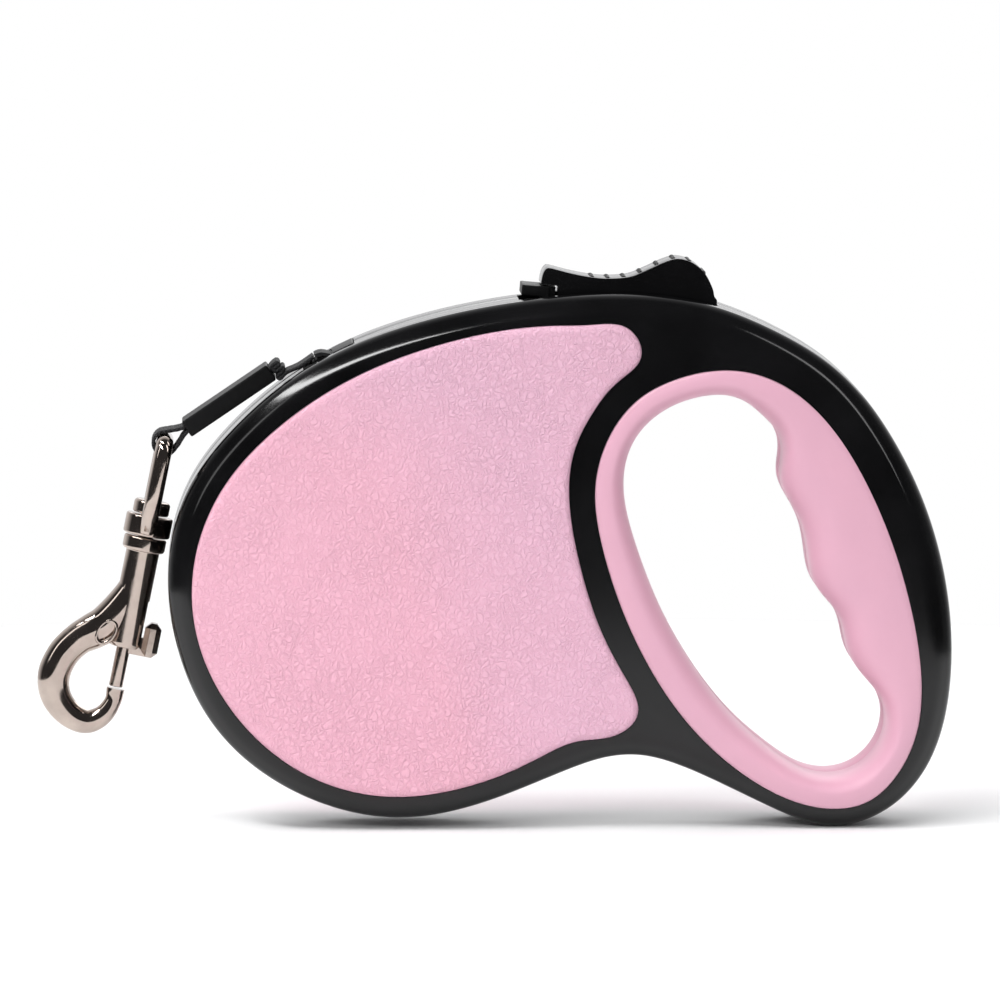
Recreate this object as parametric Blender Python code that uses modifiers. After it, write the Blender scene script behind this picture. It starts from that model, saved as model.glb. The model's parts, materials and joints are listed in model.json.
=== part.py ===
"""Retractable dog leash: a two-part case with a handle loop, a sprung tape reel, a brake and a bolt snap.

Lengths are millimetres in the constants and in every outline, and metres in the meshes.
Local axes of the case: the reel turns about Y at the origin, X runs back to the handle, Z is up.
The scene's own origin is at the middle of the handle's bar, where a hand holds the leash.
"""

import math

import bmesh
import bpy
import numpy as np
from mathutils import Matrix, Vector

MM = 0.001
GAP = 0.3                  # clearance between neighbouring pieces
HAND_GRIP = (100.0, 0.0)   # middle of the handle's bar, seen from the reel's axis

# Case
RIM_HALF = 11.5            # half width of the flat rim, up to its crisp edge
FACE_Y = 15.0              # half thickness over the two side faces
BAND = 5.2                 # width of the rounded band between rim and side face
WALL = 2.4
FLOOR_Y = 11.0             # inner face of each side wall
PART_LINE = 0.15           # each half stops this far from the middle plane
CASE_POINTS = 64           # points round the case's outline
RING_POINTS = 44           # points round the finger hole, a grip or a side panel
PANEL_FLOOR_Y = 13.2       # bottom of the recess that holds a side panel
PANEL_TOP_Y = 16.0
GRIP_FLOOR_Y = 13.0
GRIP_TOP_Y = 15.9
GRIP_WALL = 2.0
COLUMN_WALL = 4.4          # outer face of the case's wall round the finger hole

# Reel
TAPE_WIDTH = 10.0
TAPE_THICKNESS = 0.7
HUB_RADIUS = 20.9
HUB_WALL = 1.6
PACK_RADIUS = 39.5
TOOTH_COUNT = 24
TOOTH_TIP_RADIUS = 41.5
TOOTH_ROOT_RADIUS = 38.6
TOOTHED_DISC_Y = (5.6, 7.6)
SHAFT_RADIUS = 3.0

# Screws: places of the axes, all driven in from the right-hand side
SCREW_PLACES = (
    (12.0, 45.5), (36.0, -30.5), (79.5, 41.5), (88.0, 12.5), (99.0, -15.0), (53.5, -33.0),
)
SCREW_RADIUS = 1.25
SCREW_HEAD_RADIUS = 2.4
SCREW_HEAD_Y = (10.9, 12.7)
BOSS_RADIUS = 3.4

# Frames of the moving pieces: place seen from the reel's axis, and tilt about Y
SLEEVE_PLACE, SLEEVE_TILT = (-36.2, 35.3), -34.0
EYE_IN_SLEEVE = (-15.8, 0.1)   # middle of the hook's eye bar, in the sleeve's frame
HOOK_TILT = 11.5
BUTTON_PLACE, BUTTON_TILT = (43.8, 57.35), 5.0
BUTTON_HINGE = (-13.5, 0.9)    # in the button's frame
PAWL_PLACE = (38.0, 46.0)
GUIDE_PLACE, GUIDE_TILT = (-15.8, 44.6), -26.0
TOOTH_PHASE = 26.5         # degrees, so that the pawl drops between two teeth

# Brake button, in the button's frame: its top from front to back
BUTTON_HALF_WIDTH = 6.4
BUTTON_CROWN = (
    (-15.9, 2.2), (-15.4, 3.6), (-14.4, 3.9), (-10.6, 3.2), (-6.5, 2.75), (-2.5, 2.75), (1.9, 3.5),
    (5.3, 5.2), (8.7, 7.1), (11.4, 8.0), (14.5, 7.4), (17.1, 5.5), (19.0, 2.5), (19.8, 0.6),
)
BUTTON_UNDERSIDE = (
    (20.1, 0.2), (20.1, -1.9), (19.6, -2.2), (-12.6, -2.2), (-12.6, 0.35), (-16.2, 0.35), (-16.2, 1.1),
)
TONGUE = ((-20.0, 0.0), (-14.4, 0.0), (-14.4, -8.0), (-15.8, -8.0), (-15.8, -2.2), (-20.0, -2.2))
PAWL_OUTLINE = (
    (17.5, 1.5), (17.5, -0.6), (4.0, -2.6), (1.8, -3.2), (-2.2, -21.2), (-3.3, -21.7), (-4.3, -20.8),
    (-3.1, -3.0), (-3.2, 0.0), (-2.4, 2.1), (0.0, 3.1), (2.4, 2.9),
)

# Tape guide, stop sleeve and tape
ROLLER_RADIUS = 1.8
ROLLER_IN_GUIDE = (-2.2, -1.4)
TAPE_END = (-24.2, 40.3)
SLEEVE_LENGTH = 21.0

FOLD = ((-0.6, 0.9), (0.6, 1.5), (1.7, 1.1), (2.1, -0.3), (1.6, -1.7), (0.5, -2.2), (-0.6, -1.5))

# Openings in the case's rim, each as two corners in its own frame
BUTTON_WINDOW = ((-20.4, -7.0, -5.8), (20.4, 7.0, 5.0))
TAPE_OUTLET = ((-5.9, -7.7, -6.0), (5.9, 7.7, 3.0))

# Bolt snap, in its own frame: its axis runs down from the middle of the eye's bar
EYE_BAR = 1.75             # radius of the eye's bar
EYE_HALF = ((3.6, -18.0), (6.1, -15.4), (7.5, -12.8), (8.05, -10.0), (8.05, -3.2), (7.2, -0.9), (5.4, 0.0))
BOW = (                    # x, z and radius along the hook's bow, from inside the barrel to the tip
    (0.3, -28.5, 2.6), (-0.4, -31.2, 3.05), (-1.5, -34.0, 3.5), (-2.9, -36.9, 3.8), (-4.6, -39.5, 3.85),
    (-6.9, -41.4, 3.75), (-9.5, -43.6, 3.4), (-11.9, -47.2, 3.35), (-12.9, -51.8, 3.35), (-11.6, -56.0, 3.15),
    (-8.3, -59.0, 2.8), (-4.5, -59.9, 2.5), (-1.5, -58.0, 2.1), (0.0, -54.8, 1.75), (0.1, -52.0, 1.9),
)

CASE_OUTLINE = (
    (-48.8, -1.9), (-45.1, 16.5), (-34.2, 31.1), (-19.7, 42.5), (3.0, 51.9), (23.3, 56.0), (43.7, 57.4),
    (62.1, 55.2), (75.2, 50.1), (88.5, 41.7), (99.4, 28.2), (107.1, 12.0), (111.4, -6.4), (111.6, -24.1),
    (107.1, -39.8), (99.3, -48.5), (87.7, -52.2), (75.5, -48.6), (59.1, -40.8), (46.0, -37.3),
    (31.6, -41.0), (14.3, -47.6), (-1.3, -50.2), (-20.1, -46.1), (-39.0, -31.8), (-47.3, -13.6),
)
PANEL_OUTLINE = (
    (-44.2, -5.2), (-43.0, 6.2), (-37.4, 18.8), (-27.0, 30.2), (-12.1, 40.3), (6.5, 47.6), (24.1, 51.1),
    (39.6, 51.7), (46.5, 50.3), (48.6, 45.4), (45.1, 41.1), (39.0, 34.3), (34.5, 25.4), (33.7, 13.2),
    (35.9, 1.5), (39.7, -10.5), (45.8, -22.2), (47.9, -28.1), (44.1, -32.8), (36.7, -34.0),
    (25.3, -38.7), (11.1, -44.0), (-3.3, -45.7), (-19.7, -41.6), (-35.0, -29.1), (-42.2, -15.9),
)
GRIP_OUTLINE = (
    (38.2, 17.3), (40.0, 26.0), (47.9, 36.9), (55.4, 40.6), (64.2, 42.3), (72.1, 41.3), (79.7, 37.5),
    (87.7, 29.6), (94.2, 19.1), (99.5, 6.9), (103.7, -7.5), (105.7, -20.5), (105.1, -31.6),
    (101.0, -41.1), (94.4, -47.2), (87.3, -48.5), (78.4, -46.6), (69.3, -41.6), (60.5, -34.2),
    (50.1, -20.3), (42.4, -3.4), (39.4, 7.1),
)
HOLE_OUTLINE = (
    (44.7, 21.2), (47.0, 27.8), (54.0, 34.1), (61.1, 36.4), (67.8, 36.1), (73.0, 32.4), (77.3, 26.3),
    (76.8, 18.8), (79.8, 12.9), (82.4, 4.7), (83.9, -2.5), (89.1, -9.3), (91.0, -17.0), (95.2, -22.8),
    (98.5, -28.3), (97.6, -35.5), (92.0, -41.1), (84.1, -41.9), (75.7, -37.4), (67.1, -29.9),
    (58.5, -18.7), (51.7, -6.1), (47.0, 6.2),
)

COLOURS = {  # linear colour, roughness, metallic
    "black_gloss": ((0.010, 0.010, 0.011), 0.18, 0.0),
    "black_satin": ((0.013, 0.013, 0.014), 0.45, 0.0),
    "pink_panel": ((0.84, 0.47, 0.60), 0.55, 0.0),
    "pink_grip": ((0.80, 0.40, 0.52), 0.45, 0.0),
    "white_plastic": ((0.70, 0.70, 0.68), 0.40, 0.0),
    "black_tape": ((0.012, 0.012, 0.013), 0.85, 0.0),
    "hook_metal": ((0.30, 0.27, 0.26), 0.15, 1.0),
    "steel": ((0.55, 0.55, 0.56), 0.30, 1.0),
    "spring_steel": ((0.28, 0.29, 0.32), 0.35, 1.0),
}


# ---------------------------------------------------------------- scene helpers

def clear_scene():
    for item in list(bpy.data.objects):
        bpy.data.objects.remove(item, do_unlink=True)


def new_collection(name):
    collection = bpy.data.collections.new(name)
    bpy.context.scene.collection.children.link(collection)
    return collection


def material(name):
    """The named Principled material, made the first time it is asked for."""
    if name in bpy.data.materials:
        return bpy.data.materials[name]
    colour, roughness, metallic = COLOURS[name]
    made = bpy.data.materials.new(name)
    made.use_nodes = True
    shader = made.node_tree.nodes["Principled BSDF"]
    shader.inputs["Base Color"].default_value = (*colour, 1.0)
    shader.inputs["Roughness"].default_value = roughness
    shader.inputs["Metallic"].default_value = metallic
    made.diffuse_color = (*colour, 1.0)
    return made


def frame(name, place, tilt=0.0, parent=None):
    """An empty on a joint's axis. place is (x, z) in its parent's axes, and tilt is about Y in degrees."""
    empty = bpy.data.objects.new(name, None)
    empty.empty_display_size = 0.01
    empty.location = (place[0] * MM, 0.0, place[1] * MM)
    empty.rotation_euler = (0.0, math.radians(tilt), 0.0)
    empty.parent = parent
    PARTS.objects.link(empty)
    return empty


def part(name, mesh, colour, carrier):
    """A visible piece, in its carrier's axes."""
    piece = bpy.data.objects.new(name, mesh)
    piece.parent = carrier
    if not mesh.materials:
        mesh.materials.append(material(colour))
    PARTS.objects.link(piece)
    return piece


def combine(piece, operation, mesh, label):
    """Adds a Boolean modifier on the piece, with the mesh as a hidden operand in the same axes."""
    tool = bpy.data.objects.new(f"{piece.name}.{label}", mesh)
    tool.parent = piece.parent
    tool.hide_render = True
    tool.display_type = "WIRE"
    CUTTERS.objects.link(tool)
    boolean = piece.modifiers.new(label, "BOOLEAN")
    boolean.operation = operation
    boolean.object = tool


def cut(piece, mesh, label):
    combine(piece, "DIFFERENCE", mesh, label)


def join(piece, mesh, label):
    combine(piece, "UNION", mesh, label)


def evaluated_mesh(piece):
    """The mesh that the piece's modifiers or curve give, welded, with its faces pointing out."""
    bpy.context.view_layer.update()
    graph = bpy.context.evaluated_depsgraph_get()
    mesh = bpy.data.meshes.new_from_object(piece.evaluated_get(graph))
    shape = bmesh.new()
    shape.from_mesh(mesh)
    bmesh.ops.remove_doubles(shape, verts=shape.verts, dist=0.000002)
    bmesh.ops.recalc_face_normals(shape, faces=shape.faces)
    shape.to_mesh(mesh)
    shape.free()
    return mesh


# ---------------------------------------------------------------- shapes

def closed_curve(points, count):
    """count points evenly along the smooth closed curve (a periodic cubic) through the points."""
    knots = np.array(points, float)
    total = len(knots)
    ahead = np.linalg.norm(np.roll(knots, -1, axis=0) - knots, axis=1)
    behind = np.roll(ahead, 1)
    system = np.zeros((total, total))
    known = np.zeros((total, 2))
    for i in range(total):
        before, after = (i - 1) % total, (i + 1) % total
        system[i, before] += ahead[i]
        system[i, i] += 2 * (behind[i] + ahead[i])
        system[i, after] += behind[i]
        known[i] = 3 * ahead[i] * (knots[i] - knots[before]) / behind[i]
        known[i] += 3 * behind[i] * (knots[after] - knots[i]) / ahead[i]
    slopes = np.linalg.solve(system, known)
    t = np.linspace(0, 1, 24, endpoint=False)[:, None]
    spans = []
    for i in range(total):
        j = (i + 1) % total
        span = (2 * t**3 - 3 * t**2 + 1) * knots[i] + (3 * t**2 - 2 * t**3) * knots[j]
        span += ahead[i] * ((t**3 - 2 * t**2 + t) * slopes[i] + (t**3 - t**2) * slopes[j])
        spans.append(span)
    fine = np.vstack(spans + [knots[:1]])
    walked = np.r_[0, np.cumsum(np.linalg.norm(np.diff(fine, axis=0), axis=1))]
    even = np.linspace(0, walked[-1], count, endpoint=False)
    return np.c_[np.interp(even, walked, fine[:, 0]), np.interp(even, walked, fine[:, 1])]


def inset(ring, distance):
    """The ring moved inwards by distance, or outwards if it is negative."""
    ahead, behind = np.roll(ring, -1, axis=0), np.roll(ring, 1, axis=0)
    along = ahead - behind
    along /= np.linalg.norm(along, axis=1)[:, None]
    area = np.sum(ring[:, 0] * ahead[:, 1] - ahead[:, 0] * ring[:, 1])
    inward = np.c_[-along[:, 1], along[:, 0]] * np.sign(area)
    return ring + distance * inward


def lofted(rings, ends="capped"):
    """A closed mesh through rings of (x, z) points, each at its own y. ends is capped, or joined."""
    shape = bmesh.new()
    levels = [[shape.verts.new((x * MM, y * MM, z * MM)) for x, z in ring] for ring, y in rings]
    pairs = list(zip(levels, levels[1:]))
    if ends == "joined":
        pairs.append((levels[-1], levels[0]))
    for lower, upper in pairs:
        for i in range(len(lower)):
            j = (i + 1) % len(lower)
            shape.faces.new((lower[i], lower[j], upper[j], upper[i]))
    if ends == "capped":
        shape.faces.new(levels[0])
        shape.faces.new(levels[-1])
    return finished(shape)


def finished(shape):
    """The shape as a smooth-shaded mesh with its faces pointing out."""
    bmesh.ops.recalc_face_normals(shape, faces=shape.faces)
    mesh = bpy.data.meshes.new("shape")
    shape.to_mesh(mesh)
    shape.free()
    mesh.shade_smooth()
    mesh.set_sharp_from_angle(angle=math.radians(35))
    return mesh


def prism(outline, start, end):
    """The (x, z) outline drawn out along Y."""
    ring = np.array(outline, float)
    return lofted([(ring, start), (ring, end)])


def box(low, high, bevel=0.0):
    """A box between two corners, with its edges rounded over by bevel."""
    low, high = np.array(low, float), np.array(high, float)
    shape = bmesh.new()
    bmesh.ops.create_cube(shape, size=MM)
    bmesh.ops.scale(shape, vec=high - low, verts=shape.verts)
    bmesh.ops.translate(shape, vec=Vector((low + high) / 2) * MM, verts=shape.verts)
    if bevel:
        offset = bevel * MM
        bmesh.ops.bevel(shape, geom=shape.edges, offset=offset, segments=2, affect="EDGES", profile=0.5)
    return finished(shape)


def turned(profile, axis="Y", steps=32, hoop=False):
    """A solid of revolution through (radius, height) points. A hoop's profile closes on itself."""
    mesh = bpy.data.meshes.new("profile")
    count = len(profile)
    if axis == "Y":
        points = [(radius * MM, height * MM, 0.0) for radius, height in profile]
    else:
        points = [(radius * MM, 0.0, height * MM) for radius, height in profile]
    edges = [(i, i + 1) for i in range(count - 1)]
    if hoop:
        edges.append((count - 1, 0))
    mesh.from_pydata(points, edges, [])
    lathe = bpy.data.objects.new("lathe", mesh)
    bpy.context.scene.collection.objects.link(lathe)
    screw = lathe.modifiers.new("turn", "SCREW")
    screw.axis = axis
    screw.steps = steps
    screw.render_steps = steps
    screw.use_merge_vertices = True
    screw.merge_threshold = 0.00001
    solid = evaluated_mesh(lathe)
    bpy.data.objects.remove(lathe, do_unlink=True)
    return smoothed(solid)


def rod(radius, start, end, axis="Y", steps=20):
    return turned([(0, start), (radius, start), (radius, end), (0, end)], axis, steps)


def hoop(inner, outer, start, end, axis="Y", steps=32):
    section = [(inner, start), (outer, start), (outer, end), (inner, end)]
    return turned(section, axis, steps, hoop=True)


def tube(points, radii, resolution=4, cyclic=False):
    """A round bar along the points, with a radius at each, or one radius for all."""
    radii = radii if hasattr(radii, "__len__") else [radii] * len(points)
    data = bpy.data.curves.new("bar", "CURVE")
    data.dimensions = "3D"
    data.bevel_depth = MM
    data.bevel_resolution = resolution
    data.use_fill_caps = True
    spline = data.splines.new("POLY")
    spline.points.add(len(points) - 1)
    spline.use_cyclic_u = cyclic
    for knot, place, radius in zip(spline.points, points, radii):
        knot.co = (*(Vector(place) * MM), 1.0)
        knot.radius = radius
    bar = bpy.data.objects.new("bar", data)
    bpy.context.scene.collection.objects.link(bar)
    solid = evaluated_mesh(bar)
    bpy.data.objects.remove(bar, do_unlink=True)
    return smoothed(solid)


def smoothed(mesh):
    mesh.shade_smooth()
    mesh.set_sharp_from_angle(angle=math.radians(35))
    return mesh


def placed(mesh, place, tilt=0.0):
    """The mesh moved to (x, z) and tilted about Y by degrees."""
    move = Matrix.Translation((place[0] * MM, 0.0, place[1] * MM))
    mesh.transform(move @ Matrix.Rotation(math.radians(tilt), 4, "Y"))
    return mesh


def seen_from_case(point, place, tilt):
    """(x, z) in the case's axes of a point given in a frame at place, tilted about Y by degrees."""
    angle = math.radians(tilt)
    along = np.array((math.cos(angle), -math.sin(angle)))
    up = np.array((math.sin(angle), math.cos(angle)))
    return np.array(place) + point[0] * along + point[1] * up


def gathered(meshes):
    """One mesh that holds them all, still as separate bodies."""
    shape = bmesh.new()
    for mesh in meshes:
        shape.from_mesh(mesh)
    return finished(shape)


def open_curve(points, per_span):
    """Points along a smooth open curve through the given ones (Catmull-Rom), any number of columns."""
    knots = np.array(points, float)
    knots = np.vstack([2 * knots[0] - knots[1], knots, 2 * knots[-1] - knots[-2]])
    t = np.linspace(0, 1, per_span, endpoint=False)[:, None]
    spans = []
    for a, b, c, d in zip(knots, knots[1:], knots[2:], knots[3:]):
        bend = 2 * a - 5 * b + 4 * c - d + t * (3 * (b - c) + d - a)
        spans.append(b + 0.5 * t * (c - a + t * bend))
    return np.vstack(spans + [knots[-2:-1]])


def coil(radius, wire, low, high, turns, per_turn=8):
    """A compression spring about Z."""
    points = []
    for i in range(turns * per_turn + 1):
        angle = 2 * math.pi * i / per_turn
        height = low + wire + (high - low - 2 * wire) * i / (turns * per_turn)
        points.append((radius * math.cos(angle), radius * math.sin(angle), height))
    return tube(points, wire, resolution=0)


def band_section():
    """(inset, y) steps of the rounded band that runs from the rim's crisp edge to the side face."""
    start = math.radians(25)
    steps = []
    for degrees in (25, 42, 62, 90):
        angle = math.radians(degrees)
        across = BAND * (math.cos(start) - math.cos(angle)) / math.cos(start)
        rise = (math.sin(angle) - math.sin(start)) / (1 - math.sin(start))
        steps.append((across, RIM_HALF + (FACE_Y - RIM_HALF) * rise))
    return steps


# ---------------------------------------------------------------- case

def casing(name, side):
    """One moulded half of the case, with its bosses. side is -1 on the left and 1 on the right."""
    outline = closed_curve(CASE_OUTLINE, CASE_POINTS)
    hole = closed_curve(HOLE_OUTLINE, RING_POINTS)
    outside = side * (FACE_Y + 2)
    wall = side * (FLOOR_Y + 0.8)
    rings = [(outline, side * PART_LINE)]
    rings += [(inset(outline, across), side * y) for across, y in band_section()]
    half = part(name, lofted(rings), "black_gloss", CASE)
    cut(half, prism(inset(outline, WALL), -side, side * FLOOR_Y), "hollow")
    column = inset(hole, -COLUMN_WALL)
    join(half, prism(column, side * 0.25, side * (FLOOR_Y + 1)), "column")
    join(half, gathered(bosses(side, wall)), "bosses")
    cut(half, prism(inset(hole, -GRIP_WALL - GAP), -side, outside), "finger_hole")
    grip_rim = closed_curve(GRIP_OUTLINE, RING_POINTS)
    cut(half, prism(grip_rim, side * GRIP_FLOOR_Y, outside), "grip_recess")
    panel_rim = closed_curve(PANEL_OUTLINE, RING_POINTS)
    cut(half, prism(panel_rim, side * PANEL_FLOOR_Y, outside), "panel_recess")
    cut(half, gathered(bores(side)), "bores")
    cut(half, placed(box(*BUTTON_WINDOW), BUTTON_PLACE, BUTTON_TILT), "button_window")
    cut(half, placed(box(*TAPE_OUTLET), GUIDE_PLACE, GUIDE_TILT), "tape_outlet")


def bosses(side, wall):
    """Pillars on a half's side wall: for the screws, the shaft and, on the right, the pawl's pin."""
    found = [placed(rod(BOSS_RADIUS, side * 0.35, wall, steps=16), place) for place in SCREW_PLACES]
    found.append(rod(6.0, side * 8.4, wall, steps=20))
    if side > 0:
        found.append(placed(rod(2.8, 7.9, wall, steps=16), PAWL_PLACE))
    return found


def bores(side):
    """Holes in those pillars. A screw passes the right half's and cuts its thread in the left half's."""
    bore = SCREW_RADIUS + GAP
    found = [rod(SHAFT_RADIUS + GAP, side * 8, side * 11.2, steps=16)]
    if side < 0:
        return found + [placed(rod(bore, 1.0, -8.3, steps=12), place) for place in SCREW_PLACES]
    found.append(placed(rod(1.5, 7.5, 11.2, steps=12), PAWL_PLACE))
    head = SCREW_HEAD_RADIUS + GAP
    seat = SCREW_HEAD_Y[0] - GAP
    top = FACE_Y + 2
    profile = [(0, -1.0), (bore, -1.0), (bore, seat), (head, seat), (head, top), (0, top)]
    return found + [placed(turned(profile, steps=12), place) for place in SCREW_PLACES]


def side_panel(name, side):
    """The grained inlay that covers the reel's side of the case."""
    outline = inset(closed_curve(PANEL_OUTLINE, RING_POINTS), GAP)
    section = ((0.0, PANEL_FLOOR_Y + GAP), (0.0, FACE_Y + 0.2), (0.3, FACE_Y + 0.7), (1.0, PANEL_TOP_Y))
    rings = [(inset(outline, across), side * y) for across, y in section]
    part(name, lofted(rings), "pink_panel", CASE)


def grip(name, side):
    """Half of the soft lining round the finger hole: a tube inside the hole, and a rounded flange."""
    hole = closed_curve(HOLE_OUTLINE, RING_POINTS)
    rim = inset(closed_curve(GRIP_OUTLINE, RING_POINTS), GAP)
    rim = np.roll(rim, -nearest_start(hole, rim), axis=0)
    tube_wall = inset(hole, -GRIP_WALL)
    rings = [(hole, side * PART_LINE), (hole, side * 9.0)]
    rise = GRIP_TOP_Y - 9.0
    for degrees in (30, 60, 90):
        angle = math.radians(degrees)
        section = blend(hole, rim, 0.5 * (1 - math.cos(angle)))
        rings.append((section, side * (9.0 + rise * math.sin(angle))))
    rings += [(blend(hole, rim, 0.85), side * (GRIP_TOP_Y - 0.3)), (rim, side * FACE_Y)]
    rings += [(rim, side * (GRIP_FLOOR_Y + GAP)), (tube_wall, side * (GRIP_FLOOR_Y + GAP))]
    rings.append((tube_wall, side * PART_LINE))
    part(name, lofted(rings, ends="joined"), "pink_grip", CASE)


def nearest_start(ring, other):
    """Index of the point of other nearest to the first point of ring."""
    return int(np.argmin(np.linalg.norm(other - ring[0], axis=1)))


def blend(ring, other, share):
    return ring * (1 - share) + other * share


def case_screw(name, place, mesh):
    screw = part(name, mesh, "steel", CASE)
    screw.location = (place[0] * MM, 0.0, place[1] * MM)


def screw_mesh():
    low, high = SCREW_HEAD_Y
    shank, head = SCREW_RADIUS, SCREW_HEAD_RADIUS
    profile = [(0, -7.9), (shank * 0.4, -7.9), (shank, -6.6), (shank, low)]
    profile += [(head, low), (head, high - 0.5), (head - 0.7, high), (0, high)]
    blank = part("screw_blank", turned(profile, steps=12), "steel", None)
    arm, slot = 1.3, 0.3
    cross = [(-arm, -slot), (-slot, -slot), (-slot, -arm), (slot, -arm), (slot, -slot), (arm, -slot)]
    cross += [(arm, slot), (slot, slot), (slot, arm), (-slot, arm), (-slot, slot), (-arm, slot)]
    cut(blank, prism(cross, high - 0.9, high + 1), "cross")
    mesh = smoothed(evaluated_mesh(blank))
    bpy.data.objects.remove(bpy.data.objects["screw_blank.cross"], do_unlink=True)
    bpy.data.objects.remove(blank, do_unlink=True)
    return mesh


# ---------------------------------------------------------------- reel

def toothed_outline():
    """Ratchet teeth: a ramp, a short crest and a steep face that meets the pawl as tape runs out."""
    pitch = 360 / TOOTH_COUNT
    root, tip = TOOTH_ROOT_RADIUS, TOOTH_TIP_RADIUS
    points = []
    for tooth in range(TOOTH_COUNT):
        start = TOOTH_PHASE + tooth * pitch
        for turn, radius in ((0, root), (7, tip), (9.4, tip), (10, root)):
            angle = math.radians(start + turn)
            points.append((radius * math.cos(angle), radius * math.sin(angle)))
    return points


def reel():
    low, high = TOOTHED_DISC_Y
    bore = SHAFT_RADIUS + 0.4
    spool = part("spool", prism(toothed_outline(), low, high), "white_plastic", SPOOL)
    join(spool, hoop(HUB_RADIUS - HUB_WALL, HUB_RADIUS, -7.2, low + 0.8), "hub")
    join(spool, rod(5.6, low + 0.5, high + 0.5), "bearing")
    cut(spool, rod(bore, low - 2, high + 2), "bore")
    part("spool_flange", hoop(HUB_RADIUS + GAP, TOOTH_TIP_RADIUS, -7.2, -5.7), "white_plastic", SPOOL)
    cover_radius = HUB_RADIUS - HUB_WALL - GAP
    part("spring_cover", hoop(bore, cover_radius, -7.2, -6.0), "white_plastic", SPOOL)
    half = TAPE_WIDTH / 2
    pack = hoop(HUB_RADIUS + GAP + 0.2, PACK_RADIUS, -half, half)
    part("wound_tape", pack, "black_tape", SPOOL)
    spring = spiral(4.4, cover_radius - 0.4, 6, -5.4, 5.0)
    part("power_spring", spring, "spring_steel", CASE)
    shaft = part("centre_shaft", rod(SHAFT_RADIUS, -10.9, 10.9), "steel", CASE)
    cut(shaft, box((-0.5, -5.8, -4), (0.5, 5.4, 4)), "spring_slot")


def spiral(inner, outer, turns, start, end, per_turn=16):
    """The flat coiled spring: a thin strip wound outwards."""
    strip = 0.35
    inside, outside = [], []
    for i in range(turns * per_turn + 1):
        angle = 2 * math.pi * i / per_turn
        radius = inner + (outer - strip - inner) * i / (turns * per_turn)
        inside.append((radius * math.cos(angle), radius * math.sin(angle)))
        outside.append(((radius + strip) * math.cos(angle), (radius + strip) * math.sin(angle)))
    shape = bmesh.new()
    levels = []
    for y in (start, end):
        for side in (inside, outside):
            levels.append([shape.verts.new((x * MM, y * MM, z * MM)) for x, z in side])
    near_in, near_out, far_in, far_out = levels
    for i in range(len(inside) - 1):
        j = i + 1
        shape.faces.new((near_in[i], near_in[j], near_out[j], near_out[i]))
        shape.faces.new((far_in[i], far_out[i], far_out[j], far_in[j]))
        shape.faces.new((near_in[i], far_in[i], far_in[j], near_in[j]))
        shape.faces.new((near_out[i], near_out[j], far_out[j], far_out[i]))
    for i in (0, -1):
        shape.faces.new((near_in[i], near_out[i], far_out[i], far_in[i]))
    return finished(shape)


# ---------------------------------------------------------------- tape

def strip(points):
    """A stretch of the tape along (x, z) points."""
    line = np.array(points, float)
    along = np.gradient(line, axis=0)
    along /= np.linalg.norm(along, axis=1)[:, None]
    side = np.c_[-along[:, 1], along[:, 0]] * TAPE_THICKNESS / 2
    outline = np.vstack([line + side, (line - side)[::-1]])
    return prism(outline, -TAPE_WIDTH / 2, TAPE_WIDTH / 2)


def tape_guide():
    """The outlet in the rim: a frame with a roller at its lower lip."""
    guide = part("tape_guide", box((-5.6, -7.4, -2.5), (5.6, 7.4, -0.1), bevel=0.15), "black_satin", GUIDE)
    cut(guide, box((-4.3, -5.6, -4), (4.3, 5.6, 2)), "slot")
    x, z = ROLLER_IN_GUIDE
    cut(guide, placed(rod(0.9, -7.1, 7.1, steps=12), (x, z)), "pin_holes")
    roller = hoop(0.9, ROLLER_RADIUS, -5.3, 5.3, steps=20)
    part("guide_roller", placed(roller, (x, z)), "black_satin", GUIDE)
    part("guide_pin", placed(rod(0.6, -6.9, 6.9, steps=12), (x, z)), "steel", GUIDE)


def tape_runs():
    """The tape from the wound pack over the roller, and from the roller to the stop sleeve."""
    reach = ROLLER_RADIUS + GAP + TAPE_THICKNESS / 2
    roller = seen_from_case(ROLLER_IN_GUIDE, GUIDE_PLACE, GUIDE_TILT)
    pack = PACK_RADIUS + GAP + TAPE_THICKNESS / 2
    distance = float(np.hypot(*roller))
    normal = math.atan2(roller[1], roller[0]) - math.acos((pack - reach) / distance)
    leaves_pack = pack * np.array((math.cos(normal), math.sin(normal)))
    outward = math.atan2(TAPE_END[1] - roller[1], TAPE_END[0] - roller[0]) % (2 * math.pi)
    out_normal = outward - math.acos(reach / np.hypot(*(np.array(TAPE_END) - roller)))
    angles = np.linspace(normal, out_normal, 5)
    over = [roller + reach * np.array((math.cos(a), math.sin(a))) for a in angles]
    part("inner_tape", strip([leaves_pack] + over), "black_tape", CASE)
    heading = np.array(TAPE_END) - over[-1]
    heading /= np.linalg.norm(heading)
    start = over[-1] + GAP * heading
    part("outer_tape", strip([start, TAPE_END]), "black_tape", CASE)


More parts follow.
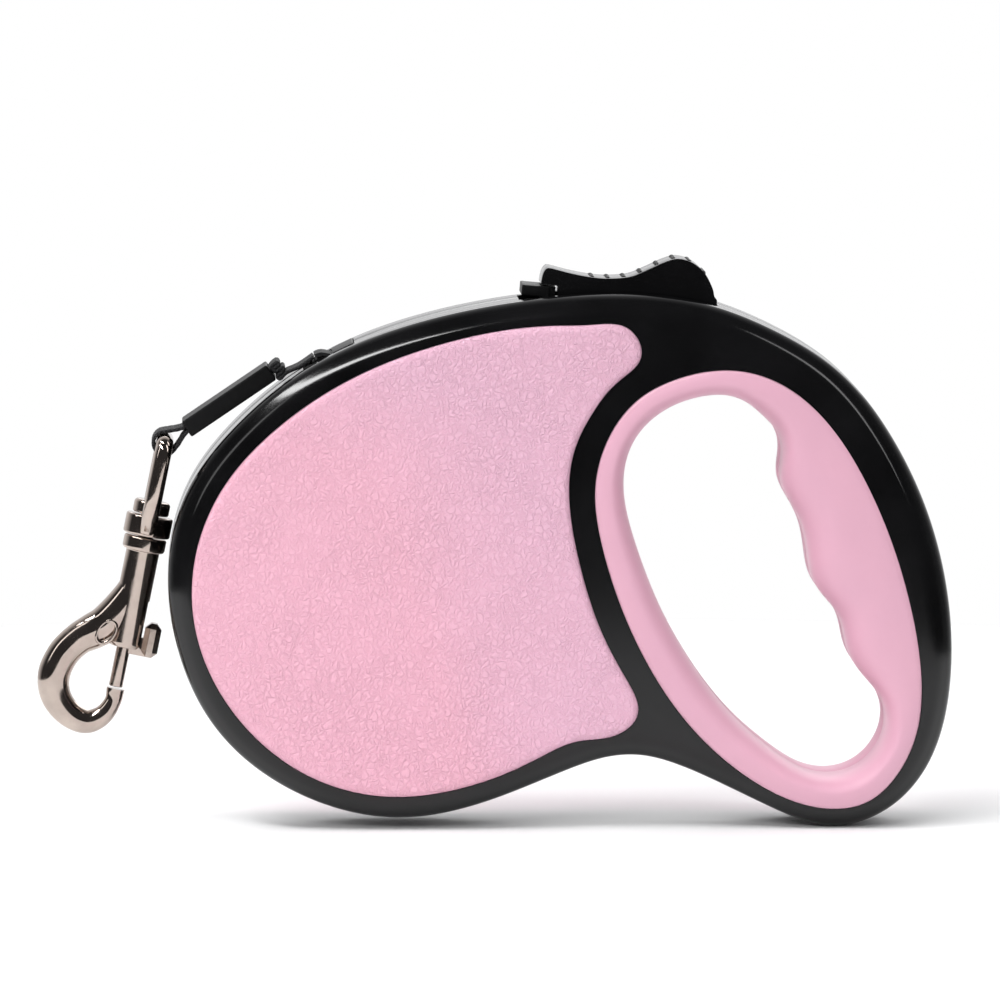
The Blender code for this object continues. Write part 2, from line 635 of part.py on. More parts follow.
def leash_end():
    """The doubled end of the tape: a loop round the hook's eye, a stem in the stop sleeve and a fold."""
    half = TAPE_WIDTH / 2
    length = SLEEVE_LENGTH / 2
    neck = -length - 0.4
    end = length + 1.2
    double = TAPE_THICKNESS
    outside = teardrop(EYE_BAR + GAP + TAPE_THICKNESS, double, neck)
    loop = part("tape_loop", prism(outside, -half, half), "black_tape", LEASH)
    join(loop, box((neck - 0.6, -half, -double), (end, half, double)), "stem")
    tail = [(end + along, up) for along, up in FOLD]
    join(loop, prism(tail, -half, half), "fold")
    inside = teardrop(EYE_BAR + GAP, 0.25, neck - 1.2)
    cut(loop, prism(inside, -half - 1, half + 1), "eye_space")
    tube_walls = box((-length, -6.0, -1.85), (length, 6.0, 1.85), bevel=0.35)
    sleeve = part("stop_sleeve", tube_walls, "black_satin", LEASH)
    slot = box((-SLEEVE_LENGTH, -half - GAP, -1.05), (SLEEVE_LENGTH, half + GAP, 1.05))
    cut(sleeve, slot, "slot")


def teardrop(radius, throat, root):
    """Outline of a loop round the eye's bar that closes to a throat at root."""
    eye_x, eye_z = EYE_IN_SLEEVE
    angles = np.radians(np.linspace(60, 300, 13))
    bow = [(eye_x + radius * math.cos(a), eye_z + radius * math.sin(a)) for a in angles]
    return [(root, throat)] + bow + [(root, -throat)]


# ---------------------------------------------------------------- brake

def brake():
    slide = part("lock_slide", box((-15.8, -9.2, -8.0), (15.5, 9.2, -6.2)), "black_satin", SLIDE)
    cut(slide, box((-13.8, -7.3, -9), (0.0, 7.3, -5)), "front_space")
    cut(slide, box((6.0, -7.3, -9), (13.5, 7.3, -5)), "rear_space")
    join(slide, prism(TONGUE, -6.5, 6.5), "tongue")
    hinge_p, hinge_q = BUTTON_HINGE
    crown = open_curve(BUTTON_CROWN, 2)
    side = np.vstack([crown, BUTTON_UNDERSIDE]) - (hinge_p, hinge_q)
    half = BUTTON_HALF_WIDTH
    button = part("brake_button", prism(side, -half, half), "black_gloss", BUTTON)
    stem = box((8.8 - hinge_p, 4.0, -7.7 - hinge_q), (12.4 - hinge_p, half, -1.5 - hinge_q))
    join(button, stem, "stem")
    spring_p = 3.0
    pocket = rod(3.0, -4.0, 1.2, axis="Z")
    cut(button, placed(pocket, (spring_p - hinge_p, -hinge_q)), "spring_pocket")
    spring = placed(coil(2.2, 0.3, -5.9, 0.9, 5), (spring_p, 0.0))
    part("button_spring", spring, "spring_steel", SLIDE)
    lever = part("brake_pawl", prism(PAWL_OUTLINE, 5.3, 7.5), "steel", PAWL)
    cut(lever, rod(1.5, 4, 9, steps=16), "bore")
    part("pawl_pin", placed(rod(1.2, 4.9, 10.9, steps=16), PAWL_PLACE), "steel", CASE)


# ---------------------------------------------------------------- bolt snap

def snap_hook():
    eye_path = [(0, y, z) for y, z in EYE_HALF] + [(0, -y, z) for y, z in EYE_HALF[::-1]]
    eye = part("hook_eye", tube(eye_path, EYE_BAR, resolution=2), "hook_metal", EYE)
    join(eye, turned([(0, -19.7), (4.85, -19.7), (4.85, -15.5), (0, -15.5)], "Z", 24), "base")
    cut(eye, rod(1.8, -22, -14, axis="Z", steps=16), "bore")
    rivet = [(0, -23.5), (1.5, -23.5), (1.5, -15.2), (3.75, -15.2), (3.75, -12.9), (3.3, -12.4), (0, -12.4)]
    part("swivel_rivet", turned(rivet, "Z", 20), "hook_metal", HOOK)
    shank = [(0, -43.2), (3.0, -43.2), (3.45, -42.6), (3.45, -22.6)]
    flange = [(4.4, -22.6), (4.4, -20.0), (0, -20.0)]
    body = part("hook_body", turned(shank + flange, "Z", 24), "hook_metal", HOOK)
    bow = open_curve([(x, 0.0, z, r) for x, z, r in BOW], 2)
    join(body, tube(bow[:, :3], bow[:, 3], resolution=3), "bow")
    bore = [(0, -48), (1.95, -48), (1.95, -24.2), (1.8, -24.2), (1.8, -19), (0, -19)]
    cut(body, turned(bore, "Z", 16), "bore")
    cut(body, box((0, -1.3, -47), (8, 1.3, -33.0)), "thumb_slot")
    bolt = part("hook_bolt", rod(1.45, -51.6, -33.4, axis="Z", steps=20), "hook_metal", BOLT)
    join(bolt, box((0.0, -0.9, -44.4), (5.5, 0.9, -40.9)), "arm")
    knob = box((3.8, -2.6, -44.3), (7.4, 2.6, -37.6), bevel=0.9)
    join(bolt, knob, "knob")
    part("bolt_spring", coil(1.3, 0.25, -33.1, -24.5, 7), "spring_steel", HOOK)


clear_scene()
PARTS = new_collection("retractable_leash")
CUTTERS = new_collection("cutters")
CASE = frame("case_frame", (-HAND_GRIP[0], -HAND_GRIP[1]))
SPOOL = frame("spool_axis", (0, 0), parent=CASE)
GUIDE = frame("guide_frame", GUIDE_PLACE, GUIDE_TILT, parent=CASE)
LEASH = frame("leash_end_frame", SLEEVE_PLACE, SLEEVE_TILT, parent=CASE)
EYE = frame("hook_swing_axis", EYE_IN_SLEEVE, HOOK_TILT - SLEEVE_TILT, parent=LEASH)
HOOK = frame("swivel_axis", (0, 0), parent=EYE)
BOLT = frame("bolt_axis", (0, 0), parent=HOOK)
SLIDE = frame("lock_slide_frame", BUTTON_PLACE, BUTTON_TILT, parent=CASE)
BUTTON = frame("brake_button_axis", BUTTON_HINGE, parent=SLIDE)
PAWL = frame("brake_pawl_axis", PAWL_PLACE, parent=CASE)

casing("left_casing", -1)
casing("right_casing", 1)
side_panel("left_panel", -1)
side_panel("right_panel", 1)
grip("left_grip", -1)
grip("right_grip", 1)
shared_screw = screw_mesh()
for number, spot in enumerate(SCREW_PLACES, start=1):
    case_screw(f"case_screw_{number}", spot, shared_screw)
reel()
tape_guide()
tape_runs()
leash_end()
brake()
snap_hook()
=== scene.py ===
"""Looks of the retractable leash: case, panels, grips, brake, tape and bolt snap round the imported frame.

Outlines and places are millimetres in the frame's axes, and MM turns them into metres.
Flat outlines are (x, z) points seen from the left side. A Place is a local frame tilted about Y.
"""

import json
import math

import bmesh
import bpy
import numpy as np
from mathutils import Matrix, Vector

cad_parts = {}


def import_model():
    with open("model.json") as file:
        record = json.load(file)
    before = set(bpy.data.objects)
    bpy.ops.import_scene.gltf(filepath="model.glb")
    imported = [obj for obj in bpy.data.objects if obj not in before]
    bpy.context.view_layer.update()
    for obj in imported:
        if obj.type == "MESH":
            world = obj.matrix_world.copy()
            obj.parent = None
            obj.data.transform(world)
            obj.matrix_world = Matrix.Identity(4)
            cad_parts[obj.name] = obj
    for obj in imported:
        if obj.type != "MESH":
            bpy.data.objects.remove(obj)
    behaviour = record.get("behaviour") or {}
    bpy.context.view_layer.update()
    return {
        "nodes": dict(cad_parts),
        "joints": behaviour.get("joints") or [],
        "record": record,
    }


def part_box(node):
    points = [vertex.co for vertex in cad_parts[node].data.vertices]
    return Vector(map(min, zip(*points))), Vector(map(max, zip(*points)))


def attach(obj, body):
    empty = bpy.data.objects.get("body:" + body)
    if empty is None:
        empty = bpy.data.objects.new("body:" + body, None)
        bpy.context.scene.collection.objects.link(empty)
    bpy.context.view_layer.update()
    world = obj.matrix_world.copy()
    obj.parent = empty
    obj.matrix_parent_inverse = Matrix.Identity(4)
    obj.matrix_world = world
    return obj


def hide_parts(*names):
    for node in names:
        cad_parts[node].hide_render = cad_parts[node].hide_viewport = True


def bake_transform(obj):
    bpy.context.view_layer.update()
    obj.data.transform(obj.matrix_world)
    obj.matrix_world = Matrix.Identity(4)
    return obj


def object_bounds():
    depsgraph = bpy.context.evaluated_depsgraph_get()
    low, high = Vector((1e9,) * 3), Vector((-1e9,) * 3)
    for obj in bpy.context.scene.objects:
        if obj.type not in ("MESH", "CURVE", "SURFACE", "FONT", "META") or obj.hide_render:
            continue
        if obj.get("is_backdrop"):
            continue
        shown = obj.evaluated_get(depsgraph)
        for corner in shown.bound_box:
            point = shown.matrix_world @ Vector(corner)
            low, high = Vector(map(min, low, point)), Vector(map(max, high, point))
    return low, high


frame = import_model()

MM = 0.001
JOINTS = {joint["name"]: joint for joint in frame["joints"]}
SIDES = {"left": -1, "right": 1}

MERGE_DISTANCE = 0.000002  # metres
POINT_MATCH = 0.01         # how near a CAD point lies to the level that it is read at

# Case section, as distances from the middle plane and from the outline
RIM_HALF = 11.5
FACE_Y = 15.0
BAND = (                   # the band round the side face, as (inset, rise) from the rim's edge
    (0.0, -1.2), (0.1, -0.6), (0.4, 0.1), (0.9, 0.8), (1.5, 1.46), (2.1, 2.08), (2.7, 2.62), (3.4, 3.08),
    (4.2, 3.37), (5.3, 3.5),
)
FLOOR_Y = 11.0             # inner face of the side wall
WALL = 2.4
HANDLE_WALL = 4.4          # from the finger hole's edge to the outside of the ring wall round it
HANDLE_WALL_Y = (0.25, FLOOR_Y + 1)
OUTLINE_EASE = 1.3
SEAM = 0.12                # half the gap between the two halves of the case
SEAM_EDGE = ((0.3, 0.0), (0.06, 0.1), (0.0, 0.35))    # the eased edge there, as (inset, rise)
CUT_PAST = 3.0             # how far a cutter reaches beyond the side face
INLAY_GAP = 0.12
PANEL_LOW = 13.5
PANEL_SEAT = 13.2
PANEL_CROWN = 1.15
PANEL_ROLL = 1.5
GRIP_Y = (9.0, 15.9)
GRIP_SEAT = 13.0
GRIP_FOOT = 13.3
GRIP_WALL = 2.0
GRIP_BACK_GAP = 0.15
GRIP_SEAM_EDGE = (0.25, 0.3)    # the eased edge at the seam, as inset and height
GRIP_DROP = 0.75           # height lost across the lining's rolled lip

# Screws, as radii and distances from the middle plane
SCREW_BORE = 1.55
SCREW_ENDS = {"left": (-8.3, 1.0), "right": (-1.0, 11.0)}
PILLAR_RADIUS = 3.4
PILLAR_Y = (0.3, FLOOR_Y + 0.8)
WELL_RADIUS = 2.7
WELL_FLOOR = 10.6

# Tape
TAPE_WIDTH = 10.0
TAPE_THICKNESS = 0.7
TAIL_THICKNESS = 1.3
RIB_PITCH = 0.9
YARN_PITCH = 0.6
RIB_RIPPLE = 0.05
SLEEVE_LENGTH = 21.0
SLEEVE_TILT = -34.0
EYE_LAP = 0.25             # between the hook's bar and the tape round it
SLEEVE_FOLD = (            # (distance past the sleeve's mouth, height) along the bunched tape
    (2.5, -1.9), (0.8, -2.2), (0.5, -1.5), (2.1, -1.2), (2.4, -0.5), (0.8, -0.45), (0.6, 0.25), (2.0, 0.3),
    (2.0, 1.0), (0.7, 0.9), (-0.9, 0.2),
)

# Tape guide, in its own tilted frame
GUIDE_TILT = -26.0
GUIDE_OFFSET = 1.3         # the guide's frame lies this far above the middle of its box
GUIDE_OPENING = ((-5.9, -7.7, -6.0), (5.9, 7.7, 3.0))
OUTLET_LIP = ((0.9, -7.3, -2.3), (5.7, 7.3, 0.25))

# Brake, in the button's own frame
BUTTON_OPENING = ((-20.4, -7.0, -5.8), (20.4, 7.0, 5.0))
BUTTON_HINGE = (-13.5, 0.9)
BUTTON_HALF_WIDTH = 6.4
BUTTON_CROWN = (
    (-16.2, 0.5), (-16.1, 1.6), (-15.9, 2.7), (-15.4, 3.6), (-14.5, 3.85), (-10.6, 3.2), (-6.5, 2.75),
    (-2.5, 2.75), (1.9, 3.5), (5.3, 5.2), (8.7, 7.1), (11.4, 8.0), (14.5, 7.4), (17.1, 5.5), (18.9, 2.7),
    (19.5, 0.9),
)
BUTTON_FOOT = ((20.1, 0.2), (20.2, -1.2), (19.9, -2.2), (-12.6, -2.2), (-12.6, 0.35), (-16.2, 0.35))
BUTTON_STEM = ((8.8, 4.0, -7.6), (12.4, BUTTON_HALF_WIDTH, -1.5))
BUTTON_EASE = 0.95
BUTTON_SPRING_X = 3.0
BUTTON_SPRING_Z = (-5.9, 0.9)
BUTTON_POCKET = (3.0, -4.0, 1.2)    # radius, bottom and top of the spring's pocket
TONGUE_SHELF = ((-15.0, -5.9, -1.9), (-13.1, 5.9, -0.02))
DOT_ROWS = 8
DOT_START = -5.8
DOT_PITCH = 3.26
DOT_COLUMNS = (-4.2, -1.4, 1.4, 4.2)
DOT_RADIUS = 0.6
DOT_HEIGHT = 0.5
DOT_SINK = 0.2
DOT_SLOPE_REACH = 0.4

# Bolt snap, in the swivel's own frame
EYE_BAR = 1.75
EYE_RING = ((0, -19.7), (4.85, -19.7), (4.85, -15.5), (0, -15.5))
EYE_FOOT = ((0, -19.3), (1.5, -19.3), (1.9, -16.5), (1.2, -13.2), (0, -13.0))
EYE_FOOT_Y = 3.9
EYE_HALF = ((3.6, -18.0), (6.1, -15.4), (7.5, -12.8), (8.05, -10.0), (8.05, -3.2), (7.2, -0.9), (5.4, 0.0))
BOW = (                    # x, z and radius along the hook's bow, from inside the barrel to the tip
    (0.4, -25.5, 2.5), (0.1, -28.8, 2.95), (-0.7, -31.9, 3.3), (-1.9, -34.8, 3.6), (-3.2, -37.3, 3.8),
    (-4.8, -39.6, 3.85), (-6.9, -41.4, 3.75), (-9.5, -43.6, 3.4), (-11.9, -47.2, 3.35),
    (-12.9, -51.8, 3.35), (-11.6, -56.0, 3.15), (-8.3, -59.0, 2.8), (-4.5, -59.9, 2.5), (-1.5, -58.0, 2.1),
    (0.0, -54.8, 1.75), (0.1, -52.0, 1.9),
)
BARREL = (
    (0, -43.2), (3.0, -43.2), (3.45, -42.4), (3.45, -22.9), (4.1, -22.9), (4.4, -22.4), (4.4, -20.3),
    (4.1, -20.0), (0, -20.0),
)
BARREL_BORE = ((0, -48), (1.95, -48), (1.95, -24.2), (1.8, -24.2), (1.8, -19), (0, -19))
BARREL_SLOT = ((0, -1.3, -47), (8, 1.3, -33.0))
OVAL_CENTRE = (-4.1, -40.6)
OVAL_HALF_AXES = (1.7, 2.6)
OVAL_LEAN = math.radians(24)
OVAL_Y = 3.25
OVAL_BAR = 0.4
BOLT_PIN = ((0, -51.6), (1.45, -51.6), (1.45, -33.4), (0, -33.4))
BOLT_ARM = ((0.0, -0.9, -44.4), (5.5, 0.9, -40.6))
BOLT_KNOB = ((3.6, -2.6, -44.3), (7.0, 2.6, -37.2))
BOLT_SPRING_Z = (-33.1, -24.5)
RIVET = ((0, -23.5), (1.5, -23.5), (1.5, -15.2), (3.75, -15.2), (3.75, -12.9), (3.3, -12.4), (0, -12.4))
RIVET_BORE = 1.8


# ---------------------------------------------------------------- frames

class Place:
    """A frame at (x, z), tilted about Y, with lengths in millimetres."""

    def __init__(self, place, tilt=0.0):
        self.matrix = Matrix.Translation((place[0] * MM, 0.0, place[1] * MM))
        self.matrix = self.matrix @ Matrix.Rotation(math.radians(tilt), 4, "Y")

    def point(self, x, z):
        return self.matrix @ Vector((x * MM, 0.0, z * MM))

    def put(self, mesh):
        mesh.transform(self.matrix)
        return mesh


def joint_place(name):
    x, _, z = JOINTS[name]["pos_m"]
    return x / MM, z / MM


def tilted(axis):
    """Tilt about Y that turns +Z onto the axis, in degrees."""
    return math.degrees(math.atan2(axis[0], axis[2]))


def centre(node):
    low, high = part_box(node)
    return (low + high) / 2 / MM


def button_place():
    along = JOINTS["lock_slide_travel"]["axis"]
    tilt = math.degrees(math.atan2(along[2], -along[0]))
    hinge = joint_place("button_press")
    turn = math.radians(tilt)
    p, q = BUTTON_HINGE
    x = hinge[0] - p * math.cos(turn) - q * math.sin(turn)
    z = hinge[1] + p * math.sin(turn) - q * math.cos(turn)
    return Place((x, z), tilt)


def guide_place():
    middle, turn = centre("tape_guide"), math.radians(GUIDE_TILT)
    x = middle[0] + GUIDE_OFFSET * math.sin(turn)
    z = middle[2] + GUIDE_OFFSET * math.cos(turn)
    return Place((x, z), GUIDE_TILT)


HOOK = Place(joint_place("swivel_spin"), tilted(JOINTS["swivel_spin"]["axis"]))
BUTTON = button_place()
GUIDE = guide_place()
SLEEVE_CENTRE = centre("stop_sleeve")
SLEEVE = Place((SLEEVE_CENTRE[0], SLEEVE_CENTRE[2]), SLEEVE_TILT)


# ---------------------------------------------------------------- curves

def ring_of(node, level):
    """(x, z) in order round the points that a CAD node has at y = level."""
    points = np.array([v.co for v in frame["nodes"][node].data.vertices]) / MM
    flat = points[np.abs(points[:, 1] - level) < POINT_MATCH][:, [0, 2]]
    flat = np.unique(flat.round(3), axis=0)
    order = [0]
    left = set(range(1, len(flat)))
    while left:
        here = flat[order[-1]]
        nearest = min(left, key=lambda i: np.hypot(*(flat[i] - here)))
        order.append(nearest)
        left.remove(nearest)
    return flat[order]


def closed_curve(points, count):
    """count even points along the smooth closed curve (a periodic cubic) through the points."""
    knots = np.array(points, float)
    total = len(knots)
    ahead = np.linalg.norm(np.roll(knots, -1, axis=0) - knots, axis=1)
    behind = np.roll(ahead, 1)
    system = np.zeros((total, total))
    known = np.zeros((total, 2))
    for i in range(total):
        before, after = (i - 1) % total, (i + 1) % total
        system[i, before] += ahead[i]
        system[i, i] += 2 * (behind[i] + ahead[i])
        system[i, after] += behind[i]
        known[i] = 3 * ahead[i] * (knots[i] - knots[before]) / behind[i]
        known[i] += 3 * behind[i] * (knots[after] - knots[i]) / ahead[i]
    slopes = np.linalg.solve(system, known)
    t = np.linspace(0, 1, 12, endpoint=False)[:, None]
    spans = []
    for i in range(total):
        j = (i + 1) % total
        span = (2 * t**3 - 3 * t**2 + 1) * knots[i] + (3 * t**2 - 2 * t**3) * knots[j]
        span += ahead[i] * ((t**3 - 2 * t**2 + t) * slopes[i] + (t**3 - t**2) * slopes[j])
        spans.append(span)
    fine = np.vstack(spans + [knots[:1]])
    walked = np.r_[0, np.cumsum(np.linalg.norm(np.diff(fine, axis=0), axis=1))]
    even = np.linspace(0, walked[-1], count, endpoint=False)
    ring = np.c_[np.interp(even, walked, fine[:, 0]), np.interp(even, walked, fine[:, 1])]
    following = np.roll(ring, -1, axis=0)
    area = np.sum(ring[:, 0] * following[:, 1] - following[:, 0] * ring[:, 1])
    return ring if area > 0 else ring[::-1]


def open_curve(points, per_span):
    """Points along a smooth open curve through the given ones (Catmull-Rom), any number of columns."""
    knots = np.array(points, float)
    knots = np.vstack([2 * knots[0] - knots[1], knots, 2 * knots[-1] - knots[-2]])
    t = np.linspace(0, 1, per_span, endpoint=False)[:, None]
    spans = []
    for a, b, c, d in zip(knots, knots[1:], knots[2:], knots[3:]):
        bend = 2 * a - 5 * b + 4 * c - d + t * (3 * (b - c) + d - a)
        spans.append(b + 0.5 * t * (c - a + t * bend))
    return np.vstack(spans + [knots[-2:-1]])


def inset(ring, distance):
    """The ring moved inwards by distance, or outwards if it is negative."""
    along = np.roll(ring, -1, axis=0) - np.roll(ring, 1, axis=0)
    along /= np.linalg.norm(along, axis=1)[:, None]
    return ring + distance * np.c_[-along[:, 1], along[:, 0]]


def outline_of(node, level, count):
    """count points along a CAD node's outline at y = level, with its corners eased by OUTLINE_EASE."""
    ring = closed_curve(ring_of(node, level), count)
    step = np.linalg.norm(np.roll(ring, -1, axis=0) - ring, axis=1).mean()
    waves = np.fft.fftfreq(count, step) * 2 * math.pi
    keep = np.exp(-0.5 * (waves * OUTLINE_EASE) ** 2)[:, None]
    return np.fft.ifft(np.fft.fft(ring, axis=0) * keep, axis=0).real


def arc(steps, start=0.0):
    """Angles from start, in degrees, up to a right angle."""
    return np.radians(np.linspace(start, 90.0, steps))


# ---------------------------------------------------------------- meshes

def finished(shape, sharp=35.0):
    bmesh.ops.recalc_face_normals(shape, faces=shape.faces)
    mesh = bpy.data.meshes.new("shape")
    shape.to_mesh(mesh)
    shape.free()
    mesh.shade_smooth()
    mesh.set_sharp_from_angle(angle=math.radians(sharp))
    return mesh


def lofted(rings, ends="capped", sharp=35.0):
    """A closed mesh through rings of (x, z) points, each at its own y. ends is capped or joined."""
    shape = bmesh.new()
    levels = [[shape.verts.new((x * MM, y * MM, z * MM)) for x, z in ring] for ring, y in rings]
    pairs = list(zip(levels, levels[1:]))
    if ends == "joined":
        pairs.append((levels[-1], levels[0]))
    for lower, upper in pairs:
        for i in range(len(lower)):
            j = (i + 1) % len(lower)
            shape.faces.new((lower[i], lower[j], upper[j], upper[i]))
    if ends == "capped":
        shape.faces.new(levels[0])
        shape.faces.new(levels[-1])
    return finished(shape, sharp)


def prism(outline, start, end):
    ring = np.array(outline, float)
    return lofted([(ring, start), (ring, end)])


def box(low, high, bevel=0.0, segments=4):
    low, high = np.array(low, float), np.array(high, float)
    shape = bmesh.new()
    bmesh.ops.create_cube(shape, size=MM)
    bmesh.ops.scale(shape, vec=high - low, verts=shape.verts)
    bmesh.ops.translate(shape, vec=Vector((low + high) / 2) * MM, verts=shape.verts)
    if bevel:
        edges = list(shape.edges)
        bmesh.ops.bevel(
            shape, geom=edges, offset=bevel * MM, segments=segments, affect="EDGES", profile=0.5,
        )
    return finished(shape, 50.0)


def turned(profile, axis="Z", steps=64, centre=(0.0, 0.0)):
    """A solid of revolution through (radius, height) points, about Z, or about Y at centre."""
    shape = bmesh.new()
    points = [shape.verts.new((r * MM, 0.0, h * MM)) for r, h in profile]
    for a, b in zip(points, points[1:]):
        shape.edges.new((a, b))
    bmesh.ops.spin(
        shape, geom=shape.verts[:] + shape.edges[:], cent=(0, 0, 0), axis=(0, 0, 1),
        angle=2 * math.pi, steps=steps, use_merge=True,
    )
    bmesh.ops.remove_doubles(shape, verts=shape.verts, dist=MERGE_DISTANCE)
    if axis == "Y":
        move = Matrix.Translation((centre[0] * MM, 0, centre[1] * MM))
        turn = Matrix.Rotation(-math.pi / 2, 4, "X")
        bmesh.ops.transform(shape, matrix=move @ turn, verts=shape.verts)
    return finished(shape)


def rod(radius, start, end, axis="Y", centre=(0.0, 0.0)):
    return turned([(0, start), (radius, start), (radius, end), (0, end)], axis, 40, centre)


def rounded_profile(corners, radius):
    """(radius, height) points with each inner corner rounded over."""
    corners = [np.array(c, float) for c in corners]
    points = [corners[0]]
    for before, corner, after in zip(corners, corners[1:], corners[2:]):
        back, ahead = before - corner, after - corner
        reach = min(radius, 0.45 * np.linalg.norm(back), 0.45 * np.linalg.norm(ahead))
        start = corner + back / np.linalg.norm(back) * reach
        end = corner + ahead / np.linalg.norm(ahead) * reach
        for t in np.linspace(0, 1, 5):
            points.append((1 - t) ** 2 * start + 2 * t * (1 - t) * corner + t**2 * end)
    return [tuple(p) for p in points + [corners[-1]]]


def tube(points, radii, sides=28, flat=1.0):
    """A round bar along 3-D points. flat below 1 makes it thinner along Y."""
    points = np.array(points, float)
    radii = np.full(len(points), radii, float) if np.isscalar(radii) else np.array(radii, float)
    along = np.gradient(points, axis=0)
    along /= np.linalg.norm(along, axis=1)[:, None]
    shape = bmesh.new()
    side = np.array((0.0, 1.0, 0.0)) if abs(along[0, 1]) < 0.9 else np.array((1.0, 0.0, 0.0))
    rings = []
    for place, radius, ahead in zip(points, radii, along):
        side = side - ahead * np.dot(side, ahead)
        side /= np.linalg.norm(side)
        up = np.cross(ahead, side)
        ring = []
        for a in np.linspace(0, 2 * math.pi, sides, endpoint=False):
            spot = place + radius * (flat * math.cos(a) * side + math.sin(a) * up)
            ring.append(shape.verts.new(Vector(spot) * MM))
        rings.append(ring)
    for lower, upper in zip(rings, rings[1:]):
        for i in range(sides):
            j = (i + 1) % sides
            shape.faces.new((lower[i], lower[j], upper[j], upper[i]))
    shape.faces.new(rings[0])
    shape.faces.new(rings[-1])
    return finished(shape)


def joined(meshes):
    """One mesh that holds them all, still as separate shells."""
    shape = bmesh.new()
    for mesh in meshes:
        shape.from_mesh(mesh)
    return finished(shape)


def shaped(mesh, *steps, sharp=35.0):
    """The mesh after Boolean steps, each an operation's name and another mesh."""
    base = bpy.data.objects.new("base", mesh)
    bpy.context.scene.collection.objects.link(base)
    tools = []
    for operation, other in steps:
        tool = bpy.data.objects.new("tool", other)
        bpy.context.scene.collection.objects.link(tool)
        boolean = base.modifiers.new(operation, "BOOLEAN")
        boolean.operation = operation
        boolean.solver = "MANIFOLD"
        boolean.object = tool
        tools.append(tool)
    bpy.context.view_layer.update()
    result = bpy.data.meshes.new_from_object(base.evaluated_get(bpy.context.evaluated_depsgraph_get()))
    for item in [base] + tools:
        bpy.data.objects.remove(item, do_unlink=True)
    result.materials.clear()
    result.shade_smooth()
    result.set_sharp_from_angle(angle=math.radians(sharp))
    return result


def bevelled(mesh, width, segments=4):
    """The mesh with its sharp edges rounded over."""
    base = bpy.data.objects.new("base", mesh)
    bpy.context.scene.collection.objects.link(base)
    bevel = base.modifiers.new("edges", "BEVEL")
    bevel.width = width * MM
    bevel.segments = segments
    bevel.limit_method = "ANGLE"
    bevel.angle_limit = math.radians(40)
    bpy.context.view_layer.update()
    result = bpy.data.meshes.new_from_object(base.evaluated_get(bpy.context.evaluated_depsgraph_get()))
    bpy.data.objects.remove(base, do_unlink=True)
    result.shade_smooth()
    result.set_sharp_from_angle(angle=math.radians(50))
    return result


def piece(name, mesh, material, body, slot, *nodes):
    """A visible piece that rides on a body and stands for CAD nodes."""
    made = bpy.data.objects.new(name, mesh)
    bpy.context.scene.collection.objects.link(made)
    mesh.materials.clear()
    mesh.materials.append(material)
    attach(made, body)
    if nodes:
        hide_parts(*nodes)


def between(name, mesh, material, node):
    """A visible piece for a CAD node, baked in place where it is drawn and attached to no body."""
    made = bpy.data.objects.new(name, mesh)
    bpy.context.scene.collection.objects.link(made)
    mesh.materials.append(material)
    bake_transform(made)
    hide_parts(node)


# ---------------------------------------------------------------- materials

class Shader:
    """A Principled material with short calls for its procedural nodes."""

    def __init__(self, name, colour, roughness, metallic=0.0, **numbers):
        self.material = bpy.data.materials.new(name)
        self.material.use_nodes = True
        self.tree = self.material.node_tree
        self.shader = self.tree.nodes["Principled BSDF"]
        self.shader.inputs["Base Color"].default_value = (*colour, 1.0)
        self.shader.inputs["Roughness"].default_value = roughness
        self.shader.inputs["Metallic"].default_value = metallic
        for socket, value in numbers.items():
            self.shader.inputs[socket.replace("_", " ")].default_value = value
        self.place = self.node("ShaderNodeTexCoord").outputs["Object"]

    def node(self, kind, **settings):
        made = self.tree.nodes.new(kind)
        for name, value in settings.items():
            if name in made.inputs:
                made.inputs[name].default_value = value
            else:
                setattr(made, name, value)
        return made

    def link(self, source, target):
        self.tree.links.new(source, target)

    def noise(self, scale, detail=4.0, roughness=0.5):
        made = self.node("ShaderNodeTexNoise", Scale=scale, Detail=detail, Roughness=roughness)
        self.link(self.place, made.inputs["Vector"])
        return made.outputs["Fac"]

    def ramp(self, source, *stops):
        made = self.node("ShaderNodeValToRGB")
        self.link(source, made.inputs["Fac"])
        while len(made.color_ramp.elements) < len(stops):
            made.color_ramp.elements.new(0.5)
        for element, (where, colour) in zip(made.color_ramp.elements, stops):
            element.position = where
            element.color = (*colour, 1.0)
        return made.outputs["Color"]

    def span(self, source, low, high, start=0.0, end=1.0):
        made = self.node("ShaderNodeMapRange")
        self.link(source, made.inputs["Value"])
        for socket, value in zip(("From Min", "From Max", "To Min", "To Max"), (start, end, low, high)):
            made.inputs[socket].default_value = value
        return made.outputs["Result"]

    def maths(self, operation, first, second):
        made = self.node("ShaderNodeMath", operation=operation)
        for socket, value in zip(made.inputs, (first, second)):
            if isinstance(value, (int, float)):
                socket.default_value = value
            else:
                self.link(value, socket)
        return made.outputs["Value"]

    def bump(self, height, strength, distance):
        made = self.node("ShaderNodeBump", Strength=strength, Distance=distance)
        self.link(height, made.inputs["Height"])
        self.link(made.outputs["Normal"], self.shader.inputs["Normal"])

    def colour(self, source):
        self.link(source, self.shader.inputs["Base Color"])

    def roughness(self, source):
        self.link(source, self.shader.inputs["Roughness"])


